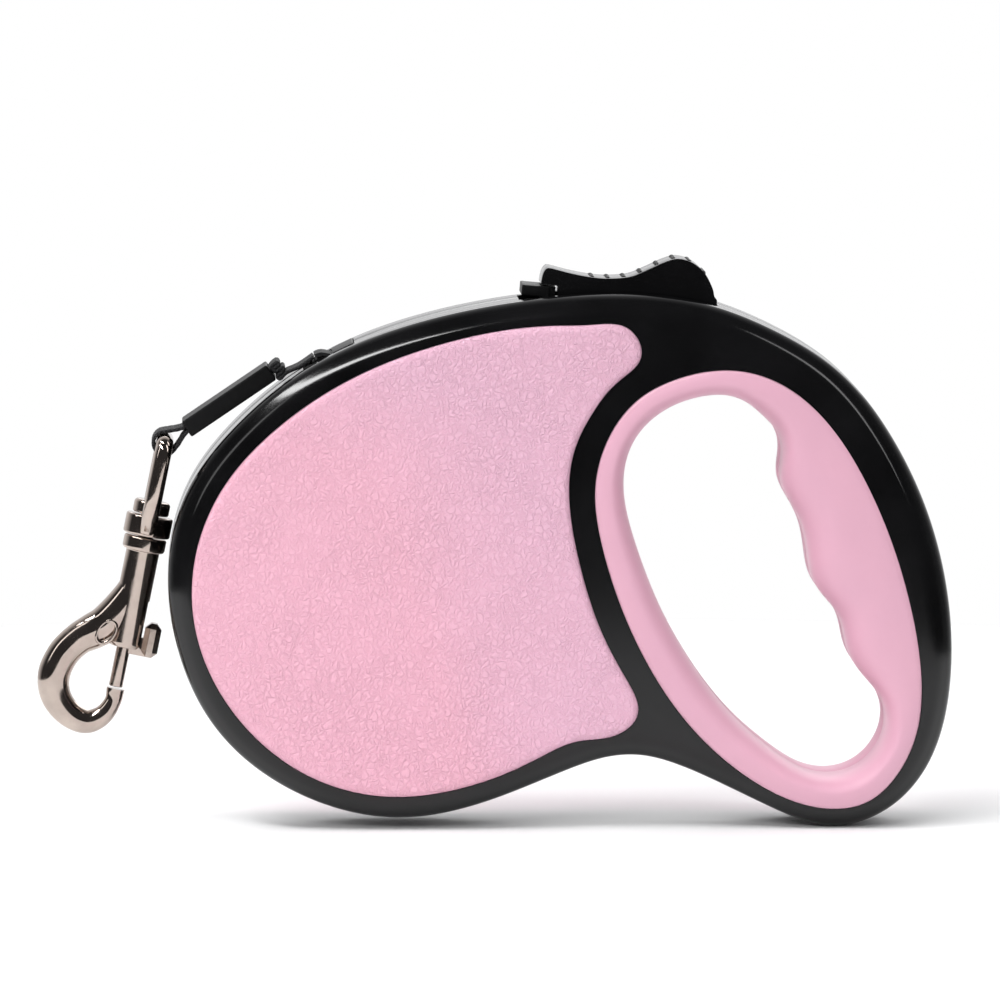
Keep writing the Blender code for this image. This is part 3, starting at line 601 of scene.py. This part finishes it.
def black_plastic(name, roughness, spread, grain, shine):
    """Moulded black plastic: gloss that varies a little, faint scuffs and a very fine surface."""
    made = Shader(name, (0.003, 0.003, 0.0033), roughness, Specular_IOR_Level=shine)
    cloud = made.noise(60.0, 3.0)
    scuffs = made.noise(420.0, 8.0, 0.75)
    marks = made.span(scuffs, 0.0, spread, 0.62, 0.72)
    made.roughness(made.maths("ADD", made.span(cloud, roughness, roughness + spread), marks))
    made.colour(made.ramp(cloud, (0.3, (0.002, 0.002, 0.0022)), (0.7, (0.005, 0.005, 0.0055))))
    made.bump(made.noise(2600.0, 2.0), grain, 0.00003)
    return made.material


def pink_leather():
    """Panel skin: a net of fine cracks between soft pebbles, with painted shade along the cracks, over a
    painted reflection that pales the pink towards the top right and a slow random change of colour.
    """
    made = Shader("pink_leather", (0.86, 0.48, 0.61), 0.5)
    parts = made.node("ShaderNodeSeparateXYZ")
    made.link(made.place, parts.inputs["Vector"])
    # painted reflection: a straight slope across X and Z, with noise added, pales the pink towards the top
    # right
    sideways = made.maths("MULTIPLY", parts.outputs["X"], 7.0)
    upwards = made.maths("MULTIPLY", parts.outputs["Z"], 5.0)
    lean = made.maths("ADD", sideways, upwards)
    reflection_and_random_drift = made.maths("ADD", made.maths("ADD", lean, made.noise(14.0, 1.0)), 0.68)
    wander = made.node("ShaderNodeTexNoise", Scale=700.0, Detail=3.0)
    made.link(made.place, wander.inputs["Vector"])
    mixed = made.node("ShaderNodeMixRGB", blend_type="LINEAR_LIGHT", Fac=0.0013)
    made.link(made.place, mixed.inputs["Color1"])
    made.link(wander.outputs["Color"], mixed.inputs["Color2"])
    stretched = made.node("ShaderNodeVectorMath", operation="MULTIPLY")
    stretched.inputs[1].default_value = (1.0, 1.0, 0.7)
    made.link(mixed.outputs["Color"], stretched.inputs[0])
    cells = made.node("ShaderNodeTexVoronoi", feature="DISTANCE_TO_EDGE", Scale=900.0)
    made.link(stretched.outputs["Vector"], cells.inputs["Vector"])
    cracks = made.span(cells.outputs["Distance"], 0.0, 1.0, 0.0, 0.22)
    wrinkles = made.noise(1100.0, 5.0, 0.6)
    patches = made.span(made.noise(90.0, 2.0), 0.65, 1.0, 0.35, 0.65)
    relief = made.maths("MULTIPLY", made.maths("ADD", cracks, wrinkles), patches)
    pink_with_painted_reflection = made.ramp(reflection_and_random_drift, (0.36, (0.77, 0.417, 0.522)), (0.64, (0.715, 0.428, 0.548)))
    shade = made.node("ShaderNodeMixRGB", blend_type="MULTIPLY", Fac=0.25)
    made.link(pink_with_painted_reflection, shade.inputs["Color1"])
    # painted shade: the pink darkens along the crack grooves
    crack_groove_shade = made.ramp(cracks, (0.0, (0.86, 0.66, 0.74)), (0.6, (1.0, 1.0, 1.0)))
    made.link(crack_groove_shade, shade.inputs["Color2"])
    made.colour(shade.outputs["Color"])
    made.roughness(made.span(wrinkles, 0.42, 0.62))
    made.bump(relief, 0.75, 0.00024)
    return made.material


def pink_rubber():
    """Soft-touch grip: smooth, faintly mottled, with a matt bloom."""
    made = Shader("pink_rubber", (0.82, 0.42, 0.55), 0.5, Sheen_Weight=0.12)
    cloud = made.noise(45.0, 3.0)
    made.colour(made.ramp(cloud, (0.3, (0.665, 0.368, 0.468)), (0.7, (0.63, 0.352, 0.452))))
    made.roughness(made.span(made.noise(160.0, 4.0), 0.40, 0.56))
    made.bump(made.noise(3200.0, 2.0), 0.10, 0.00002)
    return made.material


def webbing():
    """Woven nylon tape: ribs across it and yarns along it, by the tape's own coordinates."""
    made = Shader("webbing", (0.012, 0.012, 0.013), 0.8, Sheen_Weight=0.06)
    uv = made.node("ShaderNodeUVMap").outputs["UV"]
    parts = made.node("ShaderNodeSeparateXYZ")
    made.link(uv, parts.inputs["Vector"])
    ribs = made.maths("MULTIPLY", parts.outputs["X"], 2 * math.pi / RIB_PITCH)
    along = made.maths("SINE", ribs, 0.0)
    yarns = made.maths("MULTIPLY", parts.outputs["Y"], 2 * math.pi / YARN_PITCH)
    across = made.maths("SINE", yarns, 0.0)
    weave = made.maths("MULTIPLY", along, across)
    shade = made.span(weave, 0, 1, -1, 1)
    made.colour(made.ramp(shade, (0.0, (0.003, 0.003, 0.0035)), (1.0, (0.016, 0.016, 0.018))))
    made.roughness(made.span(made.noise(900.0), 0.65, 0.9))
    made.bump(made.maths("ADD", weave, made.noise(2400.0)), 0.5, 0.00012)
    return made.material


def plated(name, colour, roughness):
    """Die-cast metal under bright plating, with fine pits and rubbed patches."""
    made = Shader(name, colour, roughness, 1.0)
    cloud = made.noise(260.0, 5.0, 0.6)
    light = tuple(min(1.0, c * 1.25) for c in colour)
    made.colour(made.ramp(cloud, (0.35, colour), (0.75, light)))
    made.roughness(made.span(cloud, roughness, roughness + 0.14, 0.3, 0.8))
    made.bump(made.noise(700.0, 6.0, 0.6), 0.10, 0.00006)
    return made.material


def moulded_white():
    made = Shader("moulded_white", (0.72, 0.72, 0.70), 0.4)
    made.roughness(made.span(made.noise(300.0), 0.32, 0.5))
    made.bump(made.noise(1500.0), 0.1, 0.00004)
    return made.material


GLOSS = black_plastic("black_gloss_plastic", 0.10, 0.05, 0.01, 0.4)
SATIN = black_plastic("black_satin_plastic", 0.40, 0.12, 0.2, 0.22)
LEATHER = pink_leather()
RUBBER = pink_rubber()
TAPE = webbing()
NICKEL = plated("black_nickel", (0.42, 0.355, 0.315), 0.05)
STEEL = plated("zinc_steel", (0.55, 0.55, 0.56), 0.28)
BLUED = plated("spring_steel_strip", (0.26, 0.28, 0.32), 0.3)
WHITE = moulded_white()
FINISHES = {
    "black_gloss": GLOSS, "black_satin": SATIN, "pink_panel": LEATHER, "pink_grip": RUBBER,
    "white_plastic": WHITE, "black_tape": TAPE, "hook_metal": NICKEL, "steel": STEEL, "spring_steel": BLUED,
}


def dress_frame():
    """Every CAD node that still shows takes its slot's finish."""
    for row in frame["record"]["subparts"]:
        node = frame["nodes"][row["node"]]
        node.data.materials.clear()
        node.data.materials.append(FINISHES[row["material_slot"]])


# ---------------------------------------------------------------- case

def screw_places():
    names = sorted(name for name in frame["nodes"] if name.startswith("case_screw"))
    return [(centre(name)[0], centre(name)[2]) for name in names]


def casing(word):
    """One half of the case: a flat rim with an eased edge, a rounded band and a flat side face."""
    side = SIDES[word]
    outline = outline_of(f"{word}_casing", side * RIM_HALF, 420)
    rings = [(inset(outline, across), side * (SEAM + rise)) for across, rise in SEAM_EDGE]
    for across, rise in open_curve(BAND, 3):
        rings.append((inset(outline, across), side * (RIM_HALF + rise)))
    hole = outline_of(f"{word}_grip", side * GRIP_Y[0], 240)
    grip_rim = outline_of(f"{word}_grip", side * FACE_Y, 300)
    panel_rim = outline_of(f"{word}_panel", side * PANEL_LOW, 300)
    outside = side * (FACE_Y + CUT_PAST)
    spots = screw_places()
    pillars = [rod(PILLAR_RADIUS, *[side * y for y in PILLAR_Y], centre=spot) for spot in spots]
    steps = [
        ("DIFFERENCE", prism(inset(outline, WALL), -side, side * FLOOR_Y)),
        ("UNION", prism(inset(hole, -HANDLE_WALL), *[side * y for y in HANDLE_WALL_Y])),
        ("UNION", joined(pillars)),
        ("DIFFERENCE", prism(inset(hole, -GRIP_WALL - GRIP_BACK_GAP), -side, outside)),
        ("DIFFERENCE", prism(inset(grip_rim, -INLAY_GAP), side * GRIP_SEAT, outside)),
        ("DIFFERENCE", prism(inset(panel_rim, -INLAY_GAP), side * PANEL_SEAT, outside)),
        ("DIFFERENCE", BUTTON.put(box(*BUTTON_OPENING))),
        ("DIFFERENCE", GUIDE.put(box(*GUIDE_OPENING))),
    ]
    if side > 0:
        wells = [rod(WELL_RADIUS, WELL_FLOOR, FACE_Y + CUT_PAST, centre=spot) for spot in spots]
        steps.append(("DIFFERENCE", joined(wells)))
    bores = [rod(SCREW_BORE, *SCREW_ENDS[word], centre=spot) for spot in spots]
    steps.append(("DIFFERENCE", joined(bores)))
    mesh = shaped(lofted(rings), *steps)
    piece(f"{word}_case_shell", mesh, GLOSS, "case", "black_gloss", f"{word}_casing")


def panel(word):
    """A side inlay with a soft rolled edge."""
    side = SIDES[word]
    outline = outline_of(f"{word}_panel", side * PANEL_LOW, 360)
    edge = FACE_Y - 0.2
    rings = [(outline, side * PANEL_LOW), (outline, side * (edge - 0.1))]
    for angle in arc(9):
        across = PANEL_ROLL * (1 - math.cos(angle))
        rings.append((inset(outline, across), side * (edge + PANEL_CROWN * math.sin(angle))))
    rings.append((inset(outline, PANEL_ROLL + 0.3), side * (edge + PANEL_CROWN)))
    piece(f"{word}_leather_panel", lofted(rings), LEATHER, "case", "pink_panel", f"{word}_panel")


def grip(word):
    """Half of the soft lining: a tube in the finger hole that rolls out over the side face."""
    side = SIDES[word]
    count = 360
    hole = outline_of(f"{word}_grip", side * GRIP_Y[0], count)
    rim = outline_of(f"{word}_grip", side * FACE_Y, count)
    rim = np.roll(rim, -int(np.argmin(np.linalg.norm(rim - hole[0], axis=1))), axis=0)
    low, high = GRIP_Y
    ease, rise = GRIP_SEAM_EDGE
    rings = [(inset(hole, -ease), side * SEAM), (hole, side * (SEAM + rise)), (hole, side * low)]
    for angle in arc(12, 10):
        share = 0.5 * (1 - math.cos(angle))
        rings.append((hole * (1 - share) + rim * share, side * (low + (high - low) * math.sin(angle))))
    for share in (0.6, 0.7, 0.8, 0.9, 0.96):
        drop = GRIP_DROP * ((share - 0.5) / 0.5) ** 2
        rings.append((hole * (1 - share) + rim * share, side * (high - drop)))
    rings += [(rim, side * (FACE_Y - 0.1)), (rim, side * GRIP_FOOT)]
    wall = inset(hole, -GRIP_WALL)
    rings += [(wall, side * GRIP_FOOT), (wall, side * SEAM)]
    mesh = lofted(rings, ends="joined", sharp=45.0)
    piece(f"{word}_soft_grip", mesh, RUBBER, "case", "pink_grip", f"{word}_grip")


# ---------------------------------------------------------------- brake

def lock_tongue():
    """The slide under the rocker, with its tongue carried back under the rocker's front lip."""
    shelf = BUTTON.put(box(*TONGUE_SHELF))
    mesh = shaped(softened("lock_slide", 0.25), ("UNION", shelf))
    piece("lock_tongue", mesh, SATIN, "brake_slide", "black_satin", "lock_slide")


def brake_button():
    """The thumb rocker: a saddle with rounded sides, a foot at the back and raised dots on top."""
    crown = open_curve(BUTTON_CROWN, 6)
    outline = np.vstack([crown, BUTTON_FOOT])
    half = BUTTON_HALF_WIDTH
    rocker = bevelled(prism(outline, -half, half), BUTTON_EASE)
    stem = box(*BUTTON_STEM)
    pocket = rod(*BUTTON_POCKET, axis="Z")
    pocket.transform(Matrix.Translation((BUTTON_SPRING_X * MM, 0, 0)))
    mesh = shaped(rocker, ("UNION", stem), ("DIFFERENCE", pocket), sharp=50.0)
    piece("thumb_button", BUTTON.put(mesh), GLOSS, "button", "black_gloss", "brake_button")
    dots = button_dots(crown[6:])
    piece("button_dots", BUTTON.put(joined(dots)), GLOSS, "button", "black_gloss")


def button_dots(top):
    """Low domes in rows on the rocker's top, each square to the (x, z) line of the top."""
    dots = []
    for row in range(DOT_ROWS):
        along = DOT_START + DOT_PITCH * row
        height = float(np.interp(along, top[:, 0], top[:, 1]))
        before = float(np.interp(along - DOT_SLOPE_REACH, top[:, 0], top[:, 1]))
        after = float(np.interp(along + DOT_SLOPE_REACH, top[:, 0], top[:, 1]))
        slope = math.atan2(after - before, 2 * DOT_SLOPE_REACH)
        for across in DOT_COLUMNS:
            dome = [(DOT_RADIUS * math.cos(a), DOT_HEIGHT * math.sin(a) - DOT_SINK) for a in arc(6)]
            dot = turned([(0, -DOT_SINK)] + dome, steps=16)
            lean = Matrix.Rotation(-slope, 4, "Y")
            dot.transform(Matrix.Translation((along * MM, across * MM, height * MM)) @ lean)
            dots.append(dot)
    return dots


# ---------------------------------------------------------------- tape

def tape_section(thickness):
    """(y, rise) points round the tape's section: flat faces with round selvedges."""
    half, thick = TAPE_WIDTH / 2, thickness / 2
    flats = np.linspace(half - 1.2, -half + 1.2, 9)
    section = []
    for a in np.radians(np.linspace(-90, 90, 7)):
        section.append((half - thick + thick * math.cos(a), thick * math.sin(a)))
    section += [(y, thick) for y in flats]
    for a in np.radians(np.linspace(90, 270, 7)):
        section.append((-half + thick + thick * math.cos(a), thick * math.sin(a)))
    return section + [(y, -thick) for y in flats[::-1]]


def ribbon(points, thickness=TAPE_THICKNESS, wave=0.0):
    """Tape along (x, z) points, with its length and girth as UV. wave is the height of its ribs."""
    line = np.array(points, float)
    walked = np.r_[0, np.cumsum(np.linalg.norm(np.diff(line, axis=0), axis=1))]
    along = np.gradient(line, axis=0)
    along /= np.linalg.norm(along, axis=1)[:, None]
    normal = np.c_[-along[:, 1], along[:, 0]]
    section = tape_section(thickness)
    sides = np.diff(np.array(section + section[:1]), axis=0)
    girth = np.r_[0, np.cumsum(np.linalg.norm(sides, axis=1))]
    shape = bmesh.new()
    uv = shape.loops.layers.uv.new("UVMap")
    rings = []
    for spot, out, far in zip(line, normal, walked):
        ripple = wave * math.sin(far * 2 * math.pi / RIB_PITCH)
        ring = []
        for y, rise in section:
            x, z = spot + out * (rise + math.copysign(ripple, rise))
            ring.append(shape.verts.new((x * MM, y * MM, z * MM)))
        rings.append(ring)
    count = len(section)
    for k, (lower, upper) in enumerate(zip(rings, rings[1:])):
        for i in range(count):
            j = (i + 1) % count
            face = shape.faces.new((lower[i], lower[j], upper[j], upper[i]))
            corners = ((k, i), (k, i + 1), (k + 1, i + 1), (k + 1, i))
            for loop, (step, turn) in zip(face.loops, corners):
                loop[uv].uv = (walked[step], girth[turn])
    shape.faces.new(rings[0])
    shape.faces.new(rings[-1])
    return finished(shape)


def loop_round_eye():
    """The sewn end: in at the sleeve, round the hook's bar and back."""
    eye = SLEEVE.matrix.inverted() @ HOOK.point(0, 0)
    x, z = eye.x / MM, eye.z / MM
    reach = EYE_BAR + EYE_LAP + TAPE_THICKNESS / 2
    turns = np.radians(np.linspace(75, 285, 22))
    bow = [(x + reach * math.cos(a), z + reach * math.sin(a)) for a in turns]
    mouth = -SLEEVE_LENGTH / 2
    above = [(mouth + 3, 0.42), (mouth + 0.5, 0.45), (mouth - 1.3, 0.85), (mouth - 3.2, 1.7)]
    below = [(px, -pz) for px, pz in reversed(above)]
    path = open_curve(above + bow[::2] + below, 6)
    return SLEEVE.put(ribbon(path, wave=RIB_RIPPLE))


def stitched_tail():
    """The doubled tape inside the sleeve, which hides it."""
    length = SLEEVE_LENGTH / 2
    path = open_curve([(-length + 3, 0.0), (0.0, 0.0), (length - 1.5, 0.0)], 6)
    return SLEEVE.put(ribbon(path, TAIL_THICKNESS))


def outer_ends():
    """(x, z) of the pulled tape's middle line at the roller and where the sleeve's fold starts."""
    low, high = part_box("outer_tape")
    along = np.array(JOINTS["leash_pull"]["axis"])[[0, 2]]
    skew = TAPE_THICKNESS / 2 * np.abs(along[::-1])
    return np.array((high.x, high.z)) / MM - skew, np.array((low.x, low.z)) / MM + skew


def pulled_tape():
    """The tape from the roller out of the case, with its bunched fold where it enters the sleeve."""
    start, end = outer_ends()
    to_sleeve = SLEEVE.matrix.inverted()
    first, last = [to_sleeve @ Vector((x * MM, 0, z * MM)) / MM for x, z in (start, end)]
    mouth = SLEEVE_LENGTH / 2
    path = [(first.x, first.z), ((first.x + last.x) / 2, (first.z + last.z) / 2 + 0.05)]
    path += [(mouth + along, up) for along, up in SLEEVE_FOLD]
    return SLEEVE.put(ribbon(open_curve(path, 8), wave=RIB_RIPPLE))


# ---------------------------------------------------------------- bolt snap

def hook_eye():
    """The swivel's bail: a bent bar on a ring, with a foot at each side of the rivet's head."""
    half = [(0, y, z) for y, z in EYE_HALF]
    path = open_curve(half + [(0, -y, z) for _, y, z in reversed(half)], 8)
    bail = tube(path, EYE_BAR, 32)
    ring = turned(rounded_profile(EYE_RING, 0.5))
    bore = rod(RIVET_BORE, -22, -14, axis="Z")
    feet = []
    for side in (-1, 1):
        foot = turned(rounded_profile(EYE_FOOT, 0.6), steps=32)
        foot.transform(Matrix.Translation((0, side * EYE_FOOT_Y * MM, 0)))
        feet.append(foot)
    return shaped(bail, ("UNION", ring), ("UNION", joined(feet)), ("DIFFERENCE", bore))


def hook_body():
    """Barrel with a flange, the bow, a raised oval on each flank and the bolt's slot."""
    barrel = turned(rounded_profile(BARREL, 0.25))
    bow = open_curve([(x, 0.0, z, r) for x, z, r in BOW], 9)
    bar = tube(bow[:, :3], bow[:, 3], 40, flat=0.94)
    return shaped(
        barrel, ("UNION", bar), ("UNION", raised_oval(-1)), ("UNION", raised_oval(1)),
        ("DIFFERENCE", turned(BARREL_BORE)), ("DIFFERENCE", box(*BARREL_SLOT, 0.25)),
    )


def raised_oval(side):
    """A thin round bar bent into a leaning oval on one flank of the bow."""
    ring = []
    for a in np.linspace(0, 2 * math.pi, 40):
        x, z = OVAL_HALF_AXES[0] * math.cos(a), OVAL_HALF_AXES[1] * math.sin(a)
        across = OVAL_CENTRE[0] + x * math.cos(OVAL_LEAN) + z * math.sin(OVAL_LEAN)
        up = OVAL_CENTRE[1] - x * math.sin(OVAL_LEAN) + z * math.cos(OVAL_LEAN)
        ring.append((across, side * OVAL_Y, up))
    return tube(ring[:-1] + ring[:1], OVAL_BAR, 12)


def hook_bolt():
    """The sprung pin with its arm and faceted thumb knob."""
    pin = turned(rounded_profile(BOLT_PIN, 0.25))
    arm = box(*BOLT_ARM, 0.3)
    knob = box(*BOLT_KNOB, 1.1, 1)
    return shaped(pin, ("UNION", arm), ("UNION", knob), sharp=30.0)


def swivel_rivet():
    return turned(rounded_profile(RIVET, 0.4))


def softened(node, width):
    """A copy of a CAD node with its flat faces whole and its edges eased."""
    shape = bmesh.new()
    shape.from_mesh(frame["nodes"][node].data)
    bmesh.ops.remove_doubles(shape, verts=shape.verts, dist=MERGE_DISTANCE)
    bmesh.ops.dissolve_limit(
        shape, angle_limit=math.radians(1), verts=shape.verts, edges=shape.edges,
    )
    return bevelled(finished(shape), width, 3)


def coil(radius, wire, low, high, turns, x=0.0):
    """A compression spring about a line parallel to Z."""
    angle = np.linspace(0, 2 * math.pi * turns, 20 * turns + 1)
    height = np.linspace(low + wire, high - wire, len(angle))
    return tube(np.c_[x + radius * np.cos(angle), radius * np.sin(angle), height], wire, 12)


def springs():
    """The bolt's spring inside the barrel, and the rocker's spring between it and the slide."""
    low, high = BOLT_SPRING_Z
    ends = [spot_of(HOOK, 0.0, high), spot_of(HOOK, 0.0, low)]
    mesh = HOOK.put(coil(1.3, 0.25, low, high, 4))
    between("snap_spring", mesh, BLUED, "bolt_spring")
    low, high = BUTTON_SPRING_Z
    ends = [spot_of(BUTTON, BUTTON_SPRING_X, low), spot_of(BUTTON, BUTTON_SPRING_X, high)]
    mesh = BUTTON.put(coil(2.2, 0.3, low, high, 5, BUTTON_SPRING_X))
    between("rocker_spring", mesh, BLUED, "button_spring")


def spot_of(place, x, z):
    """A point of a Place as (x, z) in the frame's axes."""
    spot = place.point(x, z) / MM
    return spot.x, spot.z


# ---------------------------------------------------------------- the object

dress_frame()
for word in SIDES:
    casing(word)
    panel(word)
    grip(word)
brake_button()
lock_tongue()
piece("outlet_lip", GUIDE.put(box(*OUTLET_LIP, 0.3)), SATIN, "case", "black_satin")
piece("eye_loop", loop_round_eye(), TAPE, "leash_end", "black_tape", "tape_loop")
piece("sleeve_tail", stitched_tail(), TAPE, "leash_end", "black_tape")
between(
    "pulled_tape", pulled_tape(), TAPE, "outer_tape",
)
piece("swivel_bail", HOOK.put(hook_eye()), NICKEL, "eye", "hook_metal", "hook_eye")
piece("snap_body", HOOK.put(hook_body()), NICKEL, "hook", "hook_metal", "hook_body")
piece("snap_rivet", HOOK.put(swivel_rivet()), NICKEL, "hook", "hook_metal", "swivel_rivet")
piece("snap_bolt", HOOK.put(hook_bolt()), NICKEL, "bolt", "hook_metal", "hook_bolt")
springs()


# ---------------------------------------------------------------- stage

MIDDLE = Vector((-0.08, 0.0, 0.01))
FLOOR_RADIUS = 0.42
FLOOR_GAP = 0.0002
VIEW_WIDTH = 0.2046
VIEW_CENTRE = (-80.83, -RIM_HALF, 15.28)
AZIMUTH = -1.8
ELEVATION = 5.0
DISTANCE = 2.0


def floor():
    """A pale disc just under the object."""
    shape = bmesh.new()
    bmesh.ops.create_circle(shape, cap_ends=True, segments=128, radius=FLOOR_RADIUS)
    mesh = bpy.data.meshes.new("floor")
    shape.to_mesh(mesh)
    shape.free()
    made = bpy.data.objects.new("floor", mesh)
    made.location = (MIDDLE.x, MIDDLE.y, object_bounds()[0].z - FLOOR_GAP)
    mesh.materials.append(Shader("pale_floor", (0.93, 0.93, 0.935), 0.6).material)
    bpy.context.scene.collection.objects.link(made)
    made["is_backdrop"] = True


def area_light(name, place, size, power, mirrored=True):
    """A softbox. One that isn't mirrored lights the object and leaves no streak on its gloss."""
    data = bpy.data.lights.new(name, "AREA")
    data.shape = "ELLIPSE"
    data.size, data.size_y = size
    data.energy = power
    lamp = bpy.data.objects.new(name, data)
    lamp.visible_glossy = mirrored
    lamp.location = place
    lamp.rotation_euler = (MIDDLE - Vector(place)).to_track_quat("-Z", "Y").to_euler()
    bpy.context.scene.collection.objects.link(lamp)


def world():
    """White to look at. For light it is dark in front and overhead, and bright behind."""
    made = bpy.data.worlds.new("studio")
    made.use_nodes = True
    tree = made.node_tree
    room = tree.nodes["Background"]
    where = tree.nodes.new("ShaderNodeTexCoord")
    parts = tree.nodes.new("ShaderNodeSeparateXYZ")
    tree.links.new(where.outputs["Generated"], parts.inputs["Vector"])
    ramp = tree.nodes.new("ShaderNodeValToRGB")
    ramp.color_ramp.elements[0].position = 0.05
    ramp.color_ramp.elements[0].color = (0.05, 0.05, 0.052, 1.0)
    ramp.color_ramp.elements[1].position = 0.7
    ramp.color_ramp.elements[1].color = (0.95, 0.95, 0.96, 1.0)
    tree.links.new(parts.outputs["Y"], ramp.inputs["Fac"])
    tree.links.new(ramp.outputs["Color"], room.inputs["Color"])
    seen = tree.nodes.new("ShaderNodeBackground")
    seen.inputs["Color"].default_value = (1.0, 1.0, 1.0, 1.0)
    mix = tree.nodes.new("ShaderNodeMixShader")
    path = tree.nodes.new("ShaderNodeLightPath")
    tree.links.new(path.outputs["Is Camera Ray"], mix.inputs["Fac"])
    tree.links.new(room.outputs["Background"], mix.inputs[1])
    tree.links.new(seen.outputs["Background"], mix.inputs[2])
    tree.links.new(mix.outputs["Shader"], tree.nodes["World Output"].inputs["Surface"])
    bpy.context.scene.world = made


def camera():
    """A long lens in front of the left side, slightly above it and slightly towards the hook."""
    azimuth, elevation = math.radians(AZIMUTH), math.radians(ELEVATION)
    aim = Vector(VIEW_CENTRE) * MM
    level = math.cos(elevation)
    back = Vector((math.sin(azimuth) * level, -math.cos(azimuth) * level, math.sin(elevation)))
    data = bpy.data.cameras.new("camera")
    data.sensor_width = 36.0
    data.lens = data.sensor_width * DISTANCE / VIEW_WIDTH
    made = bpy.data.objects.new("camera", data)
    made.location = aim + DISTANCE * back
    made.rotation_euler = back.to_track_quat("Z", "Y").to_euler()
    bpy.context.scene.collection.objects.link(made)
    bpy.context.scene.camera = made


floor()
world()
area_light("top_left_box", (-0.6, -0.36, 0.95), (1.1, 0.14), 8.5)
area_light("left_box", (-0.95, -0.33, 0.6), (0.16, 0.7), 0.7)
area_light("right_box", (0.75, -0.34, 0.7), (0.16, 0.9), 1.6)
area_light("back_box", (0.3, 1.3, 0.7), (1.4, 0.6), 4.0)
area_light("sky_fill", (-0.3, -0.3, 1.4), (1.5, 1.5), 9.0, mirrored=False)
area_light("front_fill", (-0.7, -1.5, 0.9), (1.0, 0.8), 12.3, mirrored=False)
area_light("low_fill", (0.5, -1.6, 0.3), (1.0, 0.8), 4.0, mirrored=False)
camera()
bpy.context.scene.view_settings.view_transform = "Standard"
